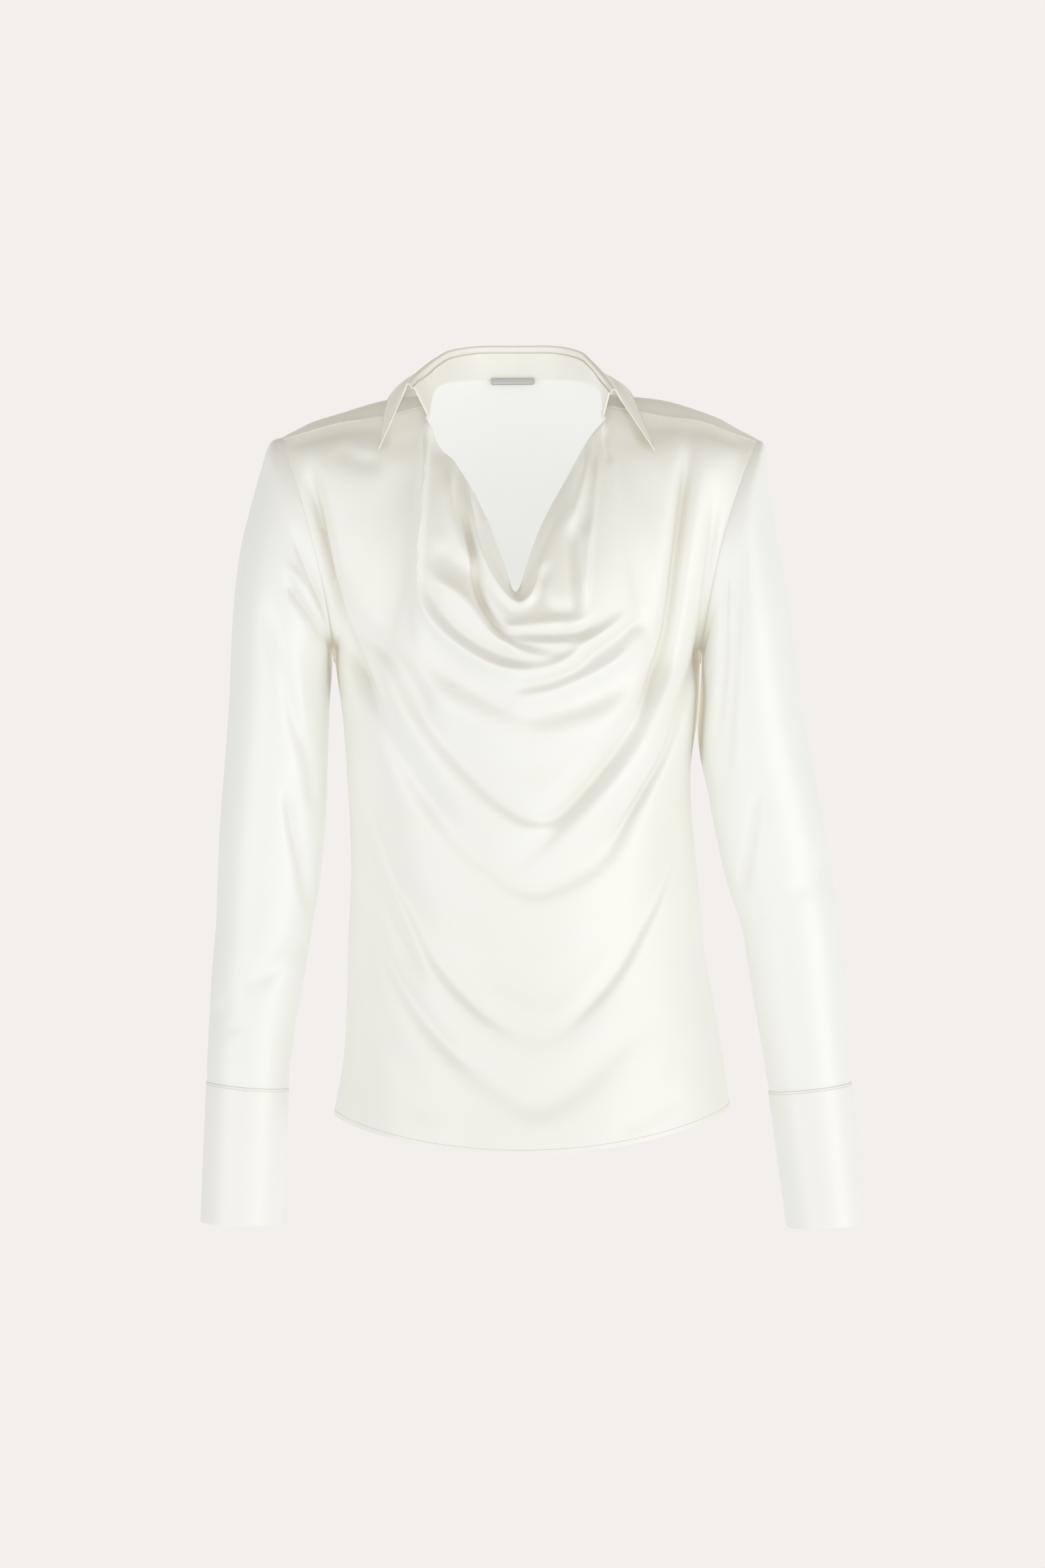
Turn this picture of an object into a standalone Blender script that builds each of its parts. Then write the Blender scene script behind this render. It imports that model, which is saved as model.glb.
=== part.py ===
"""Silk blouse with a draped cowl front, a turned-out collar and deep cuffs.

The garment is filled out as if worn, with nothing inside it. It faces -Y, the wearer's
left is +X, and the origin lies between the shoulders, at the level of the neck's sides.
Every piece of cloth is a closed wall. The tables are in millimetres and the meshes in
metres.
"""

import math
from collections import namedtuple

import bmesh
import bpy
from mathutils import Vector

MM = 0.001

# Cloth and seams
WALL = 1.8
COLLAR_WALL = 1.7
CUFF_WALL = 2.0
SEAM_GAP = 0.3
ARMHOLE_GAP = 0.5

# Mesh density
TORSO_COLUMNS = 36
LOWER_ROWS = 20
FRONT_UPPER_ROWS = 16
BACK_UPPER_ROWS = 9
SLEEVE_SIDES = 22
COLLAR_COLUMNS = 34

RIGHT = -1
LEFT = 1

# Torso, one row for each level of the side seam. The seam's own place and the depth
# and dip of the centre front and centre back are given.
TorsoSection = namedtuple(
    "TorsoSection", "name at right_x left_x right_z left_z front_y back_y front_dip back_dip"
)
TORSO = [
    TorsoSection("hem", 0.00, -156.2, 176.5, -598.5, -592.5, -115, 112, 27, 26),
    TorsoSection("above_hem", 0.11, -148.6, 171.0, -556.5, -553.5, -112, 110, 32, 25),
    TorsoSection("hip", 0.23, -145.4, 163.0, -508, -506, -109, 105, 40, 22),
    TorsoSection("below_waist", 0.36, -144.4, 154.0, -454, -454, -105, 94, 49, 18),
    TorsoSection("waist", 0.50, -141.9, 149.2, -396, -396, -102, 84, 58, 14),
    TorsoSection("above_waist", 0.60, -143.0, 145.0, -356, -356, -104, 82, 64, 10),
    TorsoSection("ribs", 0.72, -145.6, 143.6, -308, -308, -108, 85, 70, 7),
    TorsoSection("bust", 0.86, -148.4, 148.2, -262, -262, -114, 90, 76, 4),
    TorsoSection("underarm", 1.00, -156.6, 151.6, -211, -211, -118, 94, 84, 2),
]

# Armholes: a tilted oval from the shoulder point down to the underarm point. The bow
# carries its middle towards the chest, most at the given angle from the top.
Armhole = namedtuple("Armhole", "top_x top_z bottom_x bottom_z front_y back_y bow bow_angle")
ARMHOLE = {
    RIGHT: Armhole(-199, -31, -156.6, -211, -48, 52, 6, 110),
    LEFT: Armhole(200, -33, 151.6, -211, -48, 52, -8, 80),
}
BOW_BELOW_ARMHOLE = (0.55, 0.3, 0.12)
SEAM_ANGLE = 15
LIP_ANGLE = 24
DIP_POWER = 1.8

# The least that a panel's edge, and the most that a sleeve's edge, leans from the armhole
PANEL_EDGE_LEAN = 0.15
SLEEVE_EDGE_LEAN = 0.3

# Shoulders, from the armhole (0) to the neck (1): the forward seam, and the ridge above it.
Shoulder = namedtuple(
    "Shoulder", "at right_x left_x seam_y right_seam_z left_seam_z right_ridge_z left_ridge_z"
)
SHOULDERS = [
    Shoulder(0.15, -184, 176, -19, -30.3, -28.8, -21.3, -18.5),
    Shoulder(0.42, -151, 150, -25, -21.5, -20.0, -11.3, -7.7),
    Shoulder(0.70, -116, 119, -29, -16.8, -16.3, -0.5, 0.5),
    Shoulder(1.00, -76.8, 71.0, -34, -7.0, -7.0, 10.5, 10.5),
]
SHOULDER_BACK_FALL = 0.010
SHOULDER_BACK_SPREAD = 0.7

# The back's last rows, over the shoulders to the forward seam: the depth and armhole angle
# of each at the shoulder, then how far round the neck it starts, out from it and below it.
BackRow = namedtuple("BackRow", "name shoulder_y angle neck_start out down")
BACK_ROWS = [
    BackRow("behind", 26, -30, 0.66, 20, 20),
    BackRow("over", 8, -9, 0.50, 8, 5),
    BackRow("ahead", -11, 5, 0.27, 3.5, 1.2),
]

# Three curves around the neck, from the front end (0) to the centre back (1).
NeckPoint = namedtuple("NeckPoint", "at right_x left_x y right_z left_z")
NECK_SEAM = [
    NeckPoint(0.00, -77.6, 70.8, -52, -18.6, -19.2),
    NeckPoint(0.12, -76.8, 71.0, -34, -7.0, -7.0),
    NeckPoint(0.32, -75.0, 70.0, -8, 6.0, 6.0),
    NeckPoint(0.52, -69.3, 65.3, 18, 15.5, 15.5),
    NeckPoint(0.70, -56.8, 52.7, 42, 21.6, 22.0),
    NeckPoint(0.85, -33.6, 29.6, 59, 24.8, 25.0),
    NeckPoint(1.00, -2.0, -2.0, 65, 25.7, 25.7),
]
FOLD_LINE = [
    NeckPoint(0.00, -89.5, 75.3, -50, 8.1, 3.6),
    NeckPoint(0.12, -85.0, 71.0, -34, 11.8, 9.8),
    NeckPoint(0.32, -74.8, 63.4, -10, 22.4, 20.9),
    NeckPoint(0.52, -66.3, 57.2, 13, 34.5, 33.0),
    NeckPoint(0.70, -55.7, 48.5, 36, 46.7, 45.7),
    NeckPoint(0.85, -33.6, 29.6, 53, 51.9, 51.9),
    NeckPoint(1.00, -2.0, -2.0, 58, 52.7, 52.7),
]
COLLAR_EDGE = [
    NeckPoint(0.00, -116.6, 111.8, -62, -47.0, -48.2),
    NeckPoint(0.12, -116.0, 102.2, -42, -20.5, -19.5),
    NeckPoint(0.32, -113.0, 97.0, -4, 4.6, 6.6),
    NeckPoint(0.52, -102.0, 92.0, 32, 3.5, 5.0),
    NeckPoint(0.70, -78.0, 72.0, 63, 1.0, 1.0),
    NeckPoint(0.85, -44.0, 40.0, 84, -3.5, -3.5),
    NeckPoint(1.00, -2.0, -2.0, 91, -5.0, -5.0),
]
SHOULDER_SEAM_AT = 0.12
STAND_SEAM_BELOW_FOLD = 8
FOLD_RADIUS = 2.6
COLLAR_BULGE = 5
COLLAR_POINT_FADE = 0.3
STAND_END_SHARE = 0.55
STAND_END_FADE = 0.35
STAND_ROWS = 3
NECK_MIDDLE = Vector((-3, 8, 0))

# The turn of the collar over its fold, out and up in fold radii, then its way down
FALL_TURN = [(0.3, -0.3), (1.0, 0.0), (1.7, -0.3)]
FALL_DOWN = [0.08, 0.38, 0.70, 1.0]

# Front neckline, by column: the soft edge that hangs between the two neck points.
Neckline = namedtuple("Neckline", "column right_x right_z left_x left_z y")
NECKLINE = [
    Neckline(0.46, -63.1, -31.0, 60.4, -33.9, -62),
    Neckline(0.36, -49.8, -51.4, 48.9, -53.3, -71),
    Neckline(0.27, -36.0, -74.6, 35.8, -75.6, -80),
    Neckline(0.18, -23.2, -99.6, 24.3, -99.6, -89),
    Neckline(0.09, -12.5, -131.2, 10.7, -129.3, -98),
    Neckline(0.00, -3.4, -169.0, -3.4, -169.0, -107),
]
FRONT_NECK_COLUMN = 0.62
FRONT_POINT_COLUMN = 0.56
BACK_NECK_COLUMN = 0.50
NECKLINE_FADE = 0.10
BACK_NECK_FADE = 0.08
NECKLINE_TURN_IN = Vector((0, 9, -5))

# From the front's edge to the row below it: at the shoulder seam, the neck seam and the
# neckline. X points away from the middle.
BELOW_SHOULDER_SEAM = Vector((0, -6, -9))
BELOW_NECK_SEAM = Vector((-1.5, -8, -9))
BELOW_NECKLINE = Vector((-0.75, -4, -4.5))

CHEST_FULLNESS = 7
BLADE_FULLNESS = 10
FRONT_RELAX = 3
BACK_RELAX = 6
FIRST_RELAXED_ROW = 2

FOLD_STEPS = 24
FOLD_TAPER = 0.22
SIDE_SEAM_FADE = 0.12
NECKLINE_FREE_MARGIN = 0.08

# Drape of the front: soft troughs (depth below zero) and ridges, each along a smooth
# line through four places seen from the front.
Fold = namedtuple("Fold", "name x0 z0 x1 z1 x2 z2 x3 z3 depth width")
FRONT_FOLDS = [
    Fold("cowl_lip", -68, -155, -42, -207, 6, -232, 81, -194, 5.0, 13),
    Fold("cowl_inner", -54, -92, -42, -146, -20, -196, 39, -208, -5.0, 9),
    Fold("cowl_inner_ridge", -57, -56, -38, -101, -26, -136, -8, -178, 3.0, 8),
    Fold("cowl_left_inner", 61, -41, 52, -101, 47, -152, 50, -187, -5.0, 8),
    Fold("under_lip", -70, -194, -29, -257, 21, -264, 105, -225, -5.5, 14),
    Fold("neck_point_ridge", -78, -31, -79, -90, -84, -145, -95, -182, 4.0, 8),
    Fold("neck_point_trough", -93, -55, -98, -105, -100, -145, -95, -204, -3.0, 11),
    Fold("swag_1", -112, -228, -68, -301, 10, -351, 95, -286, -4.0, 13),
    Fold("swag_1_ridge", -97, -272, -48, -337, 14, -382, 87, -330, 3.0, 13),
    Fold("armhole_right", -165, -117, -150, -198, -127, -256, -95, -301, -6.0, 13),
    Fold("swag_2_right", -115, -273, -89, -325, -46, -383, 11, -416, -4.0, 13),
    Fold("swag_2_left", 11, -416, 48, -399, 79, -359, 101, -318, -3.5, 13),
    Fold("swag_3_right", -137, -291, -116, -363, -70, -465, 8, -534, -5.0, 12),
    Fold("swag_3_left", 143, -298, 126, -380, 81, -474, 8, -534, -5.0, 12),
    Fold("swag_4_right", -134, -388, -109, -469, -50, -544, 11, -582, -4.0, 13),
    Fold("swag_4_left", 121, -495, 93, -528, 58, -559, 11, -582, -3.5, 13),
    Fold("armhole_left_inner", 141, -58, 135, -138, 123, -216, 76, -292, -6.0, 10),
    Fold("armhole_left_outer", 164, -68, 159, -142, 146, -220, 89, -351, -5.0, 9),
    Fold("hem_right", -125, -500, -109, -542, -89, -576, -64, -602, -3.0, 11),
    Fold("hem_left", 140, -557, 129, -578, 105, -594, 77, -601, -2.5, 9),
]
BACK_FOLDS = [
    Fold("blade_right", -150, -120, -128, -190, -112, -270, -118, -350, -4.0, 15),
    Fold("blade_left", 152, -118, 130, -200, 116, -285, 124, -360, -4.0, 14),
    Fold("centre_drag", -60, -60, -20, -88, 26, -90, 64, -58, -2.5, 13),
    Fold("waist_right", -140, -372, -98, -392, -52, -398, -16, -388, -3.5, 13),
    Fold("waist_left", 142, -356, 104, -384, 60, -402, 22, -408, -3.5, 14),
    Fold("long_right", -60, -250, -54, -350, -66, -470, -60, -580, 4.0, 17),
    Fold("long_left", 46, -230, 58, -340, 52, -460, 64, -590, 4.0, 16),
    Fold("long_centre", -4, -300, 4, -400, -6, -500, 2, -600, -3.0, 15),
    Fold("hem_back_right", -118, -430, -112, -500, -122, -560, -116, -600, -3.0, 13),
    Fold("hem_back_left", 120, -440, 112, -510, 126, -560, 120, -600, -3.0, 13),
]

# Sleeves, one row for each ring below the armhole: its outer and inner points seen from
# the front, its half depths, and how far the arm swings forward there.
SleeveSection = namedtuple("SleeveSection", "name outer_x outer_z inner_x inner_z front_y back_y swing")
SLEEVE = {
    RIGHT: [
        SleeveSection("head_1", -210.0, -37, -157.6, -214, 51, 54, 0),
        SleeveSection("head_2", -218.4, -63, -157.6, -221, 54, 57, 0),
        SleeveSection("head_3", -226.5, -92, -158.2, -232, 56, 59, 0),
        SleeveSection("head_4", -234.5, -126, -159.2, -245, 57, 60, 0),
        SleeveSection("biceps", -239.5, -165, -160.2, -260, 57, 60, -1),
        SleeveSection("upper_1", -242.0, -204, -160.6, -278, 56, 59, -2),
        SleeveSection("upper_2", -244.0, -256, -161.4, -304, 54, 57, -3),
        SleeveSection("upper_3", -247.5, -305, -162.0, -332, 51, 54, -4),
        SleeveSection("above_elbow", -251.4, -356, -164.4, -370, 48, 51, -5),
        SleeveSection("elbow", -253.4, -402, -168.4, -408, 45, 48, -5),
        SleeveSection("below_elbow", -254.6, -440, -174.4, -443, 43, 46, -6),
        SleeveSection("forearm_1", -257.8, -478, -180.4, -483, 41, 42, -8),
        SleeveSection("forearm_2", -260.0, -523, -188.4, -528, 38, 39, -11),
        SleeveSection("wrist", -261.4, -552, -192.2, -558, 36, 36, -14),
        SleeveSection("cuff_seam", -261.4, -571.0, -193.6, -577.0, 35, 35, -15),
    ],
    LEFT: [
        SleeveSection("head_1", 205.6, -38, 152.7, -214, 51, 54, 0),
        SleeveSection("head_2", 208.0, -58, 152.8, -220, 54, 57, 0),
        SleeveSection("head_3", 211.0, -86, 152.4, -230, 56, 59, 0),
        SleeveSection("head_4", 217.0, -120, 151.6, -243, 57, 60, 0),
        SleeveSection("biceps", 223.2, -157, 150.6, -258, 57, 60, -1),
        SleeveSection("upper_1", 230.0, -204, 149.4, -279, 56, 59, -2),
        SleeveSection("upper_2", 237.0, -257, 152.0, -303, 54, 57, -3),
        SleeveSection("upper_3", 244.6, -302, 157.6, -328, 51, 54, -4),
        SleeveSection("above_elbow", 254.0, -350, 164.6, -366, 48, 51, -5),
        SleeveSection("elbow", 261.6, -396, 174.0, -406, 45, 48, -5),
        SleeveSection("below_elbow", 267.0, -434, 186.0, -442, 43, 46, -6),
        SleeveSection("forearm_1", 271.4, -476, 192.8, -484, 41, 42, -8),
        SleeveSection("forearm_2", 273.6, -521, 200.4, -529, 38, 39, -11),
        SleeveSection("wrist", 275.6, -552, 205.4, -560, 36, 36, -14),
        SleeveSection("cuff_seam", 276.6, -571.5, 208.4, -579.5, 35, 35, -15),
    ],
}
SLEEVE_FOLDS = {
    RIGHT: [
        Fold("head_drag", -196, -100, -174, -142, -164, -190, -160, -230, -3.5, 8),
        Fold("long_inner", -212, -168, -196, -240, -180, -310, -170, -340, -3.0, 10),
        Fold("elbow_inner", -196, -302, -189, -360, -178, -400, -172, -424, -3.5, 9),
        Fold("elbow_cross", -176, -448, -196, -466, -222, -482, -246, -498, -3.5, 11),
        Fold("outer_small", -256, -504, -248, -516, -240, -526, -236, -534, -2.5, 8),
    ],
    LEFT: [
        Fold("long_front", 188, -115, 184, -158, 179, -250, 175, -325, -3.5, 9),
        Fold("elbow_front", 202, -336, 194, -368, 187, -395, 184, -424, -3.0, 9),
        Fold("outer_small", 250, -380, 244, -396, 236, -408, 226, -416, -2.5, 9),
    ],
}

# Cuffs: the lower edge of each; the upper edge is the sleeve's last ring.
CuffEdge = namedtuple("CuffEdge", "outer_x outer_z inner_x inner_z front_y back_y swing")
CUFF_TOP_GROWTH = 0.8
CUFF_BOTTOM = {
    RIGHT: CuffEdge(-266.4, -686.7, -198.4, -688.2, 36, 36, -21),
    LEFT: CuffEdge(289.0, -687.2, 222.4, -691.7, 36, 36, -21),
}
CUFF_ROWS = 3

# Label on the inside of the back neck seam
LABEL_WIDTH = 38
LABEL_HEIGHT = 5.6
LABEL_THICKNESS = 0.9
LABEL_X = -6.2
LABEL_CORNER = 2.2
LABEL_STEPS = 12
LABEL_CLEARANCE = 1.0
LABEL_TILT = 0.25
LABEL_CORNER_DROP = 0.6
NECK_CENTRE_X = -2.0
NECK_REACH = 207

SATIN = (0.870, 0.874, 0.838)
COLLAR_SATIN = (0.860, 0.862, 0.826)
CUFF_SATIN = (0.880, 0.880, 0.846)
LABEL_METAL = (0.62, 0.62, 0.60)


def curve(knots, values, t):
    """Value at t of a smooth curve through numbers or vectors given at rising knots."""
    last = len(knots) - 1
    t = min(max(t, knots[0]), knots[last])
    i = 0
    while i < last - 1 and t > knots[i + 1]:
        i += 1

    def slope(k):
        before = (values[k] - values[k - 1]) / (knots[k] - knots[k - 1]) if k > 0 else None
        after = (values[k + 1] - values[k]) / (knots[k + 1] - knots[k]) if k < last else None
        if before is None:
            return after
        if after is None:
            return before
        short = knots[k] - knots[k - 1]
        long = knots[k + 1] - knots[k]
        return (before * long + after * short) / (short + long)

    span = knots[i + 1] - knots[i]
    f = (t - knots[i]) / span
    start = values[i] * (1 + 2 * f) * (1 - f) ** 2 + slope(i) * span * f * (1 - f) ** 2
    end = values[i + 1] * f * f * (3 - 2 * f) + slope(i + 1) * span * f * f * (f - 1)
    return start + end


def smooth_step(t):
    t = min(max(t, 0.0), 1.0)
    return t * t * (3 - 2 * t)


def armhole_bow(side, angle):
    """How far the armhole bows towards the chest at an angle from its top, 0 to 180."""
    hole = ARMHOLE[side]
    lean = math.cos(math.radians(angle - hole.bow_angle)) * math.sin(math.radians(angle))
    return hole.bow * max(lean, 0)


def armhole_point(side, angle):
    """Point of an armhole, by its angle in degrees from the top towards the front."""
    hole = ARMHOLE[side]
    turn = math.radians(angle)
    along = (1 - math.cos(turn)) / 2
    x = hole.top_x + (hole.bottom_x - hole.top_x) * along
    z = hole.top_z + (hole.bottom_z - hole.top_z) * along
    depth = hole.front_y if math.sin(turn) >= 0 else hole.back_y
    return Vector((x + armhole_bow(side, abs(angle)), depth * abs(math.sin(turn)), z))


def side_x(row, side):
    return row.right_x if side == RIGHT else row.left_x


def neck_point(table, side, at):
    knots = [row.at for row in table]
    right = side == RIGHT
    points = [Vector((side_x(row, side), row.y, row.right_z if right else row.left_z)) for row in table]
    return curve(knots, points, at)


def around_neck(table, s):
    """Point of a neck curve at s, from -1 at the wearer's right front to 1 at the left."""
    side = RIGHT if s < 0 else LEFT
    return neck_point(table, side, 1 - abs(s))


def away_from_neck(point):
    """Level unit direction from the middle of the neck to a point."""
    flat = point - NECK_MIDDLE
    flat.z = 0
    return flat.normalized()


def shoulder_point(side, at, y=None):
    """Point on the shoulder: on the forward seam, or at depth y over the top of it."""
    knots = [0.0] + [row.at for row in SHOULDERS]
    tip = ARMHOLE[side]
    tip_seam = armhole_point(side, SEAM_ANGLE)
    right = side == RIGHT
    seams = [tip_seam]
    for row in SHOULDERS:
        seam_z = row.right_seam_z if right else row.left_seam_z
        seams.append(Vector((side_x(row, side), row.seam_y, seam_z)))
    seam = curve(knots, seams, at)
    if y is None:
        return seam
    ridges = [tip.top_z] + [row.right_ridge_z if right else row.left_ridge_z for row in SHOULDERS]
    ridge_z = curve(knots, ridges, at)
    if y < 0:
        return Vector((seam.x, y, ridge_z - (ridge_z - seam.z) * (y / seam.y) ** 2))
    return Vector((seam.x, y, ridge_z - SHOULDER_BACK_FALL * y * y))


def torso_section(row, u, front):
    """Point of a level section: u runs from -1 at the right side seam to 1 at the left."""
    turn = u * math.pi / 2
    middle = (row.right_x + row.left_x) / 2
    half = (row.left_x - row.right_x) / 2
    depth = row.front_y if front else row.back_y
    dip = row.front_dip if front else row.back_dip
    across = math.cos(turn)
    level = (row.right_z + row.left_z) / 2 + (row.left_z - row.right_z) / 2 * math.sin(turn)
    return Vector((middle + half * math.sin(turn), depth * across, level - dip * across ** DIP_POWER))


def lower_grid(front):
    """Rows of points from the hem to the underarm."""
    knots = [row.at for row in TORSO]
    rows = []
    for i in range(LOWER_ROWS + 1):
        at = i / LOWER_ROWS
        rows.append([curve(knots, [torso_section(row, u, front) for row in TORSO], at) for u in columns()])
    return rows


def columns():
    return [-1 + 2 * i / TORSO_COLUMNS for i in range(TORSO_COLUMNS + 1)]


def mirrored(offset, side):
    return Vector((offset.x * side, offset.y, offset.z))


def neckline_row(u, turned_in):
    """Front upper edge at column u: the shoulder seam, the neck seam, then the neckline."""
    side = RIGHT if u < 0 else LEFT
    column = abs(u)
    if column >= FRONT_NECK_COLUMN:
        at = (1 - column) / (1 - FRONT_NECK_COLUMN)
        seam = shoulder_point(side, at)
        if turned_in:
            return seam
        return seam + BELOW_SHOULDER_SEAM
    if column >= FRONT_POINT_COLUMN:
        at = SHOULDER_SEAM_AT * (column - FRONT_POINT_COLUMN) / (FRONT_NECK_COLUMN - FRONT_POINT_COLUMN)
        seam = neck_point(NECK_SEAM, side, at)
        if turned_in:
            return seam
        return seam + mirrored(BELOW_NECK_SEAM, side) * (at / SHOULDER_SEAM_AT + 1) / 2
    rows = sorted(NECKLINE, key=lambda row: row.column)
    knots = [row.column for row in rows] + [FRONT_POINT_COLUMN]
    right = side == RIGHT
    points = [Vector((side_x(row, side), row.y, row.right_z if right else row.left_z)) for row in rows]
    points.append(neck_point(NECK_SEAM, side, 0))
    edge = curve(knots, points, column)
    fade = smooth_step((FRONT_POINT_COLUMN - column) / NECKLINE_FADE)
    if turned_in:
        return edge + NECKLINE_TURN_IN * fade
    return edge + mirrored(BELOW_NECKLINE, side) * (1 - fade)


def back_row(row):
    """Points over the shoulders at one depth, then around and below the neck seam."""
    points = []
    for u in columns():
        side = RIGHT if u < 0 else LEFT
        column = abs(u)
        over = row.shoulder_y > 0
        if column >= BACK_NECK_COLUMN:
            at = (1 - column) / (1 - BACK_NECK_COLUMN)
            spread = 1 + SHOULDER_BACK_SPREAD * at * at if over else 1
            points.append(shoulder_point(side, at, row.shoulder_y * spread))
            continue
        seam = neck_point(NECK_SEAM, side, 1 - column / BACK_NECK_COLUMN * (1 - row.neck_start))
        spread = 1 + SHOULDER_BACK_SPREAD if over else 1
        start = shoulder_point(side, 1, row.shoulder_y * spread)
        below = seam + away_from_neck(seam) * row.out - Vector((0, 0, row.down))
        points.append(start.lerp(below, smooth_step((BACK_NECK_COLUMN - column) / BACK_NECK_FADE)))
    points[0] = armhole_point(RIGHT, row.angle)
    points[-1] = armhole_point(LEFT, row.angle)
    return points


def back_seam_row():
    """The back's edge: the forward shoulder seams and the neck seam between them."""
    points = []
    for u in columns():
        side = RIGHT if u < 0 else LEFT
        column = abs(u)
        if column >= BACK_NECK_COLUMN:
            points.append(shoulder_point(side, (1 - column) / (1 - BACK_NECK_COLUMN)))
        else:
            at = 1 - column / BACK_NECK_COLUMN * (1 - SHOULDER_SEAM_AT)
            points.append(neck_point(NECK_SEAM, side, at))
    return points


def patch(low, high, edges, count, fullness):
    """Rows blended from low to high, whose ends follow the armholes."""
    rows = []
    last = len(low) - 1
    for i in range(1, count + 1):
        w = i / count
        right, left = edges(w)
        right_shift = right - low[0].lerp(high[0], w)
        left_shift = left - low[last].lerp(high[last], w)
        bulge = fullness * (4 * w * (1 - w)) ** 2
        row = []
        for j, u in enumerate(columns()):
            point = low[j].lerp(high[j], w)
            to_right = smooth_step((1 - u) / 2) ** 3
            to_left = smooth_step((1 + u) / 2) ** 3
            point = point + right_shift * to_right + left_shift * to_left
            point.y += bulge * math.cos(u * math.pi / 2)
            row.append(point)
        row[0] = right
        row[last] = left
        rows.append(row)
    return rows


def relax(rows, passes):
    """Evens out the inner points of a grid, and leaves its edges alone."""
    for _ in range(passes):
        old = [[point.copy() for point in row] for row in rows]
        for i in range(FIRST_RELAXED_ROW, len(rows) - 1):
            for j in range(1, len(rows[i]) - 1):
                around = old[i - 1][j] + old[i + 1][j] + old[i][j - 1] + old[i][j + 1]
                rows[i][j] = old[i][j].lerp(around / 4, 0.5)


def front_grid():
    rows = lower_grid(True)
    lip = [neckline_row(u, False) for u in columns()]
    lip[0] = armhole_point(RIGHT, LIP_ANGLE)
    lip[-1] = armhole_point(LEFT, LIP_ANGLE)

    def edges(w):
        angle = 180 + (LIP_ANGLE - 180) * w
        return armhole_point(RIGHT, angle), armhole_point(LEFT, angle)

    rows += patch(rows[-1], lip, edges, FRONT_UPPER_ROWS, -CHEST_FULLNESS)
    rows.append([neckline_row(u, True) for u in columns()])
    relax(rows[:-1], FRONT_RELAX)
    return rows


def back_grid():
    rows = lower_grid(False)
    behind, over, ahead = BACK_ROWS

    def edges(w):
        angle = -180 + (behind.angle + 180) * w
        return armhole_point(RIGHT, angle), armhole_point(LEFT, angle)

    rows += patch(rows[-1], back_row(behind), edges, BACK_UPPER_ROWS, BLADE_FULLNESS)
    rows += [back_row(over), back_row(ahead), back_seam_row()]
    relax(rows, BACK_RELAX)
    return rows


def fold_line(fold):
    knots = [0, 1, 2, 3]
    points = [
        Vector((fold.x0, fold.z0)),
        Vector((fold.x1, fold.z1)),
        Vector((fold.x2, fold.z2)),
        Vector((fold.x3, fold.z3)),
    ]
    return [curve(knots, points, knots[-1] * i / FOLD_STEPS) for i in range(FOLD_STEPS + 1)]


def fold_height(lines, x, z):
    """How far the folds push the cloth out at a place seen from the front."""
    here = Vector((x, z))
    height = 0.0
    for fold, line in lines:
        nearest = math.inf
        for i in range(FOLD_STEPS):
            span = line[i + 1] - line[i]
            f = min(max((here - line[i]).dot(span) / span.length_squared, 0), 1)
            gap = (line[i] + span * f - here).length
            if gap < nearest:
                nearest = gap
                along = (i + f) / FOLD_STEPS
        taper = smooth_step(along / FOLD_TAPER) * smooth_step((1 - along) / FOLD_TAPER)
        height += fold.depth * math.exp(-((nearest / fold.width) ** 2)) * taper
    return height


def normals_of(rows, closed, sign):
    """Unit normals of a grid of points, on the side that sign picks."""
    count = len(rows[0])
    result = []
    for i, row in enumerate(rows):
        above = rows[min(i + 1, len(rows) - 1)]
        below = rows[max(i - 1, 0)]
        line = []
        for j in range(count):
            if closed:
                across = row[(j + 1) % count] - row[j - 1]
            else:
                across = row[min(j + 1, count - 1)] - row[max(j - 1, 0)]
            line.append((across.cross(above[j] - below[j]) * sign).normalized())
        result.append(line)
    return result


def offset(rows, normals, distance):
    """A copy of a grid of points, each moved along its normal."""
    moved = []
    for i, row in enumerate(rows):
        moved.append([point + normals[i][j] * distance for j, point in enumerate(row)])
    return moved


def raise_folds(rows, normals, folds, fade):
    """Moves each point along its normal by the folds' height."""
    lines = [(fold, fold_line(fold)) for fold in folds]
    for i, row in enumerate(rows):
        for j, point in enumerate(row):
            row[j] = point + normals[i][j] * fold_height(lines, point.x, point.z) * fade(i, j)


def material(name, color, roughness, metallic=0.0):
    made = bpy.data.materials.new(name)
    made.use_nodes = True
    shader = made.node_tree.nodes["Principled BSDF"]
    shader.inputs["Base Color"].default_value = (*color, 1.0)
    shader.inputs["Roughness"].default_value = roughness
    shader.inputs["Metallic"].default_value = metallic
    return made


def wall(name, outer, inner, closed, finish):
    """A closed wall between two grids of points, as one object."""
    mesh = bmesh.new()
    count = len(outer[0])
    faces = [[[mesh.verts.new(point * MM) for point in row] for row in grid] for grid in (outer, inner)]
    spans = count if closed else count - 1
    for grid in faces:
        for i in range(len(grid) - 1):
            for j in range(spans):
                k = (j + 1) % count
                mesh.faces.new((grid[i][j], grid[i][k], grid[i + 1][k], grid[i + 1][j]))
    for i in (0, len(outer) - 1):
        for j in range(spans):
            k = (j + 1) % count
            mesh.faces.new((faces[0][i][j], faces[0][i][k], faces[1][i][k], faces[1][i][j]))
    if not closed:
        for j in (0, count - 1):
            for i in range(len(outer) - 1):
                mesh.faces.new((faces[0][i][j], faces[0][i + 1][j], faces[1][i + 1][j], faces[1][i][j]))
    bmesh.ops.recalc_face_normals(mesh, faces=mesh.faces)
    data = bpy.data.meshes.new(name)
    mesh.to_mesh(data)
    mesh.free()
    data.shade_smooth()
    data.set_sharp_from_angle(angle=math.radians(50))
    data.materials.append(finish)
    made = bpy.data.objects.new(name, data)
    bpy.context.scene.collection.objects.link(made)
    return made


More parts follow.
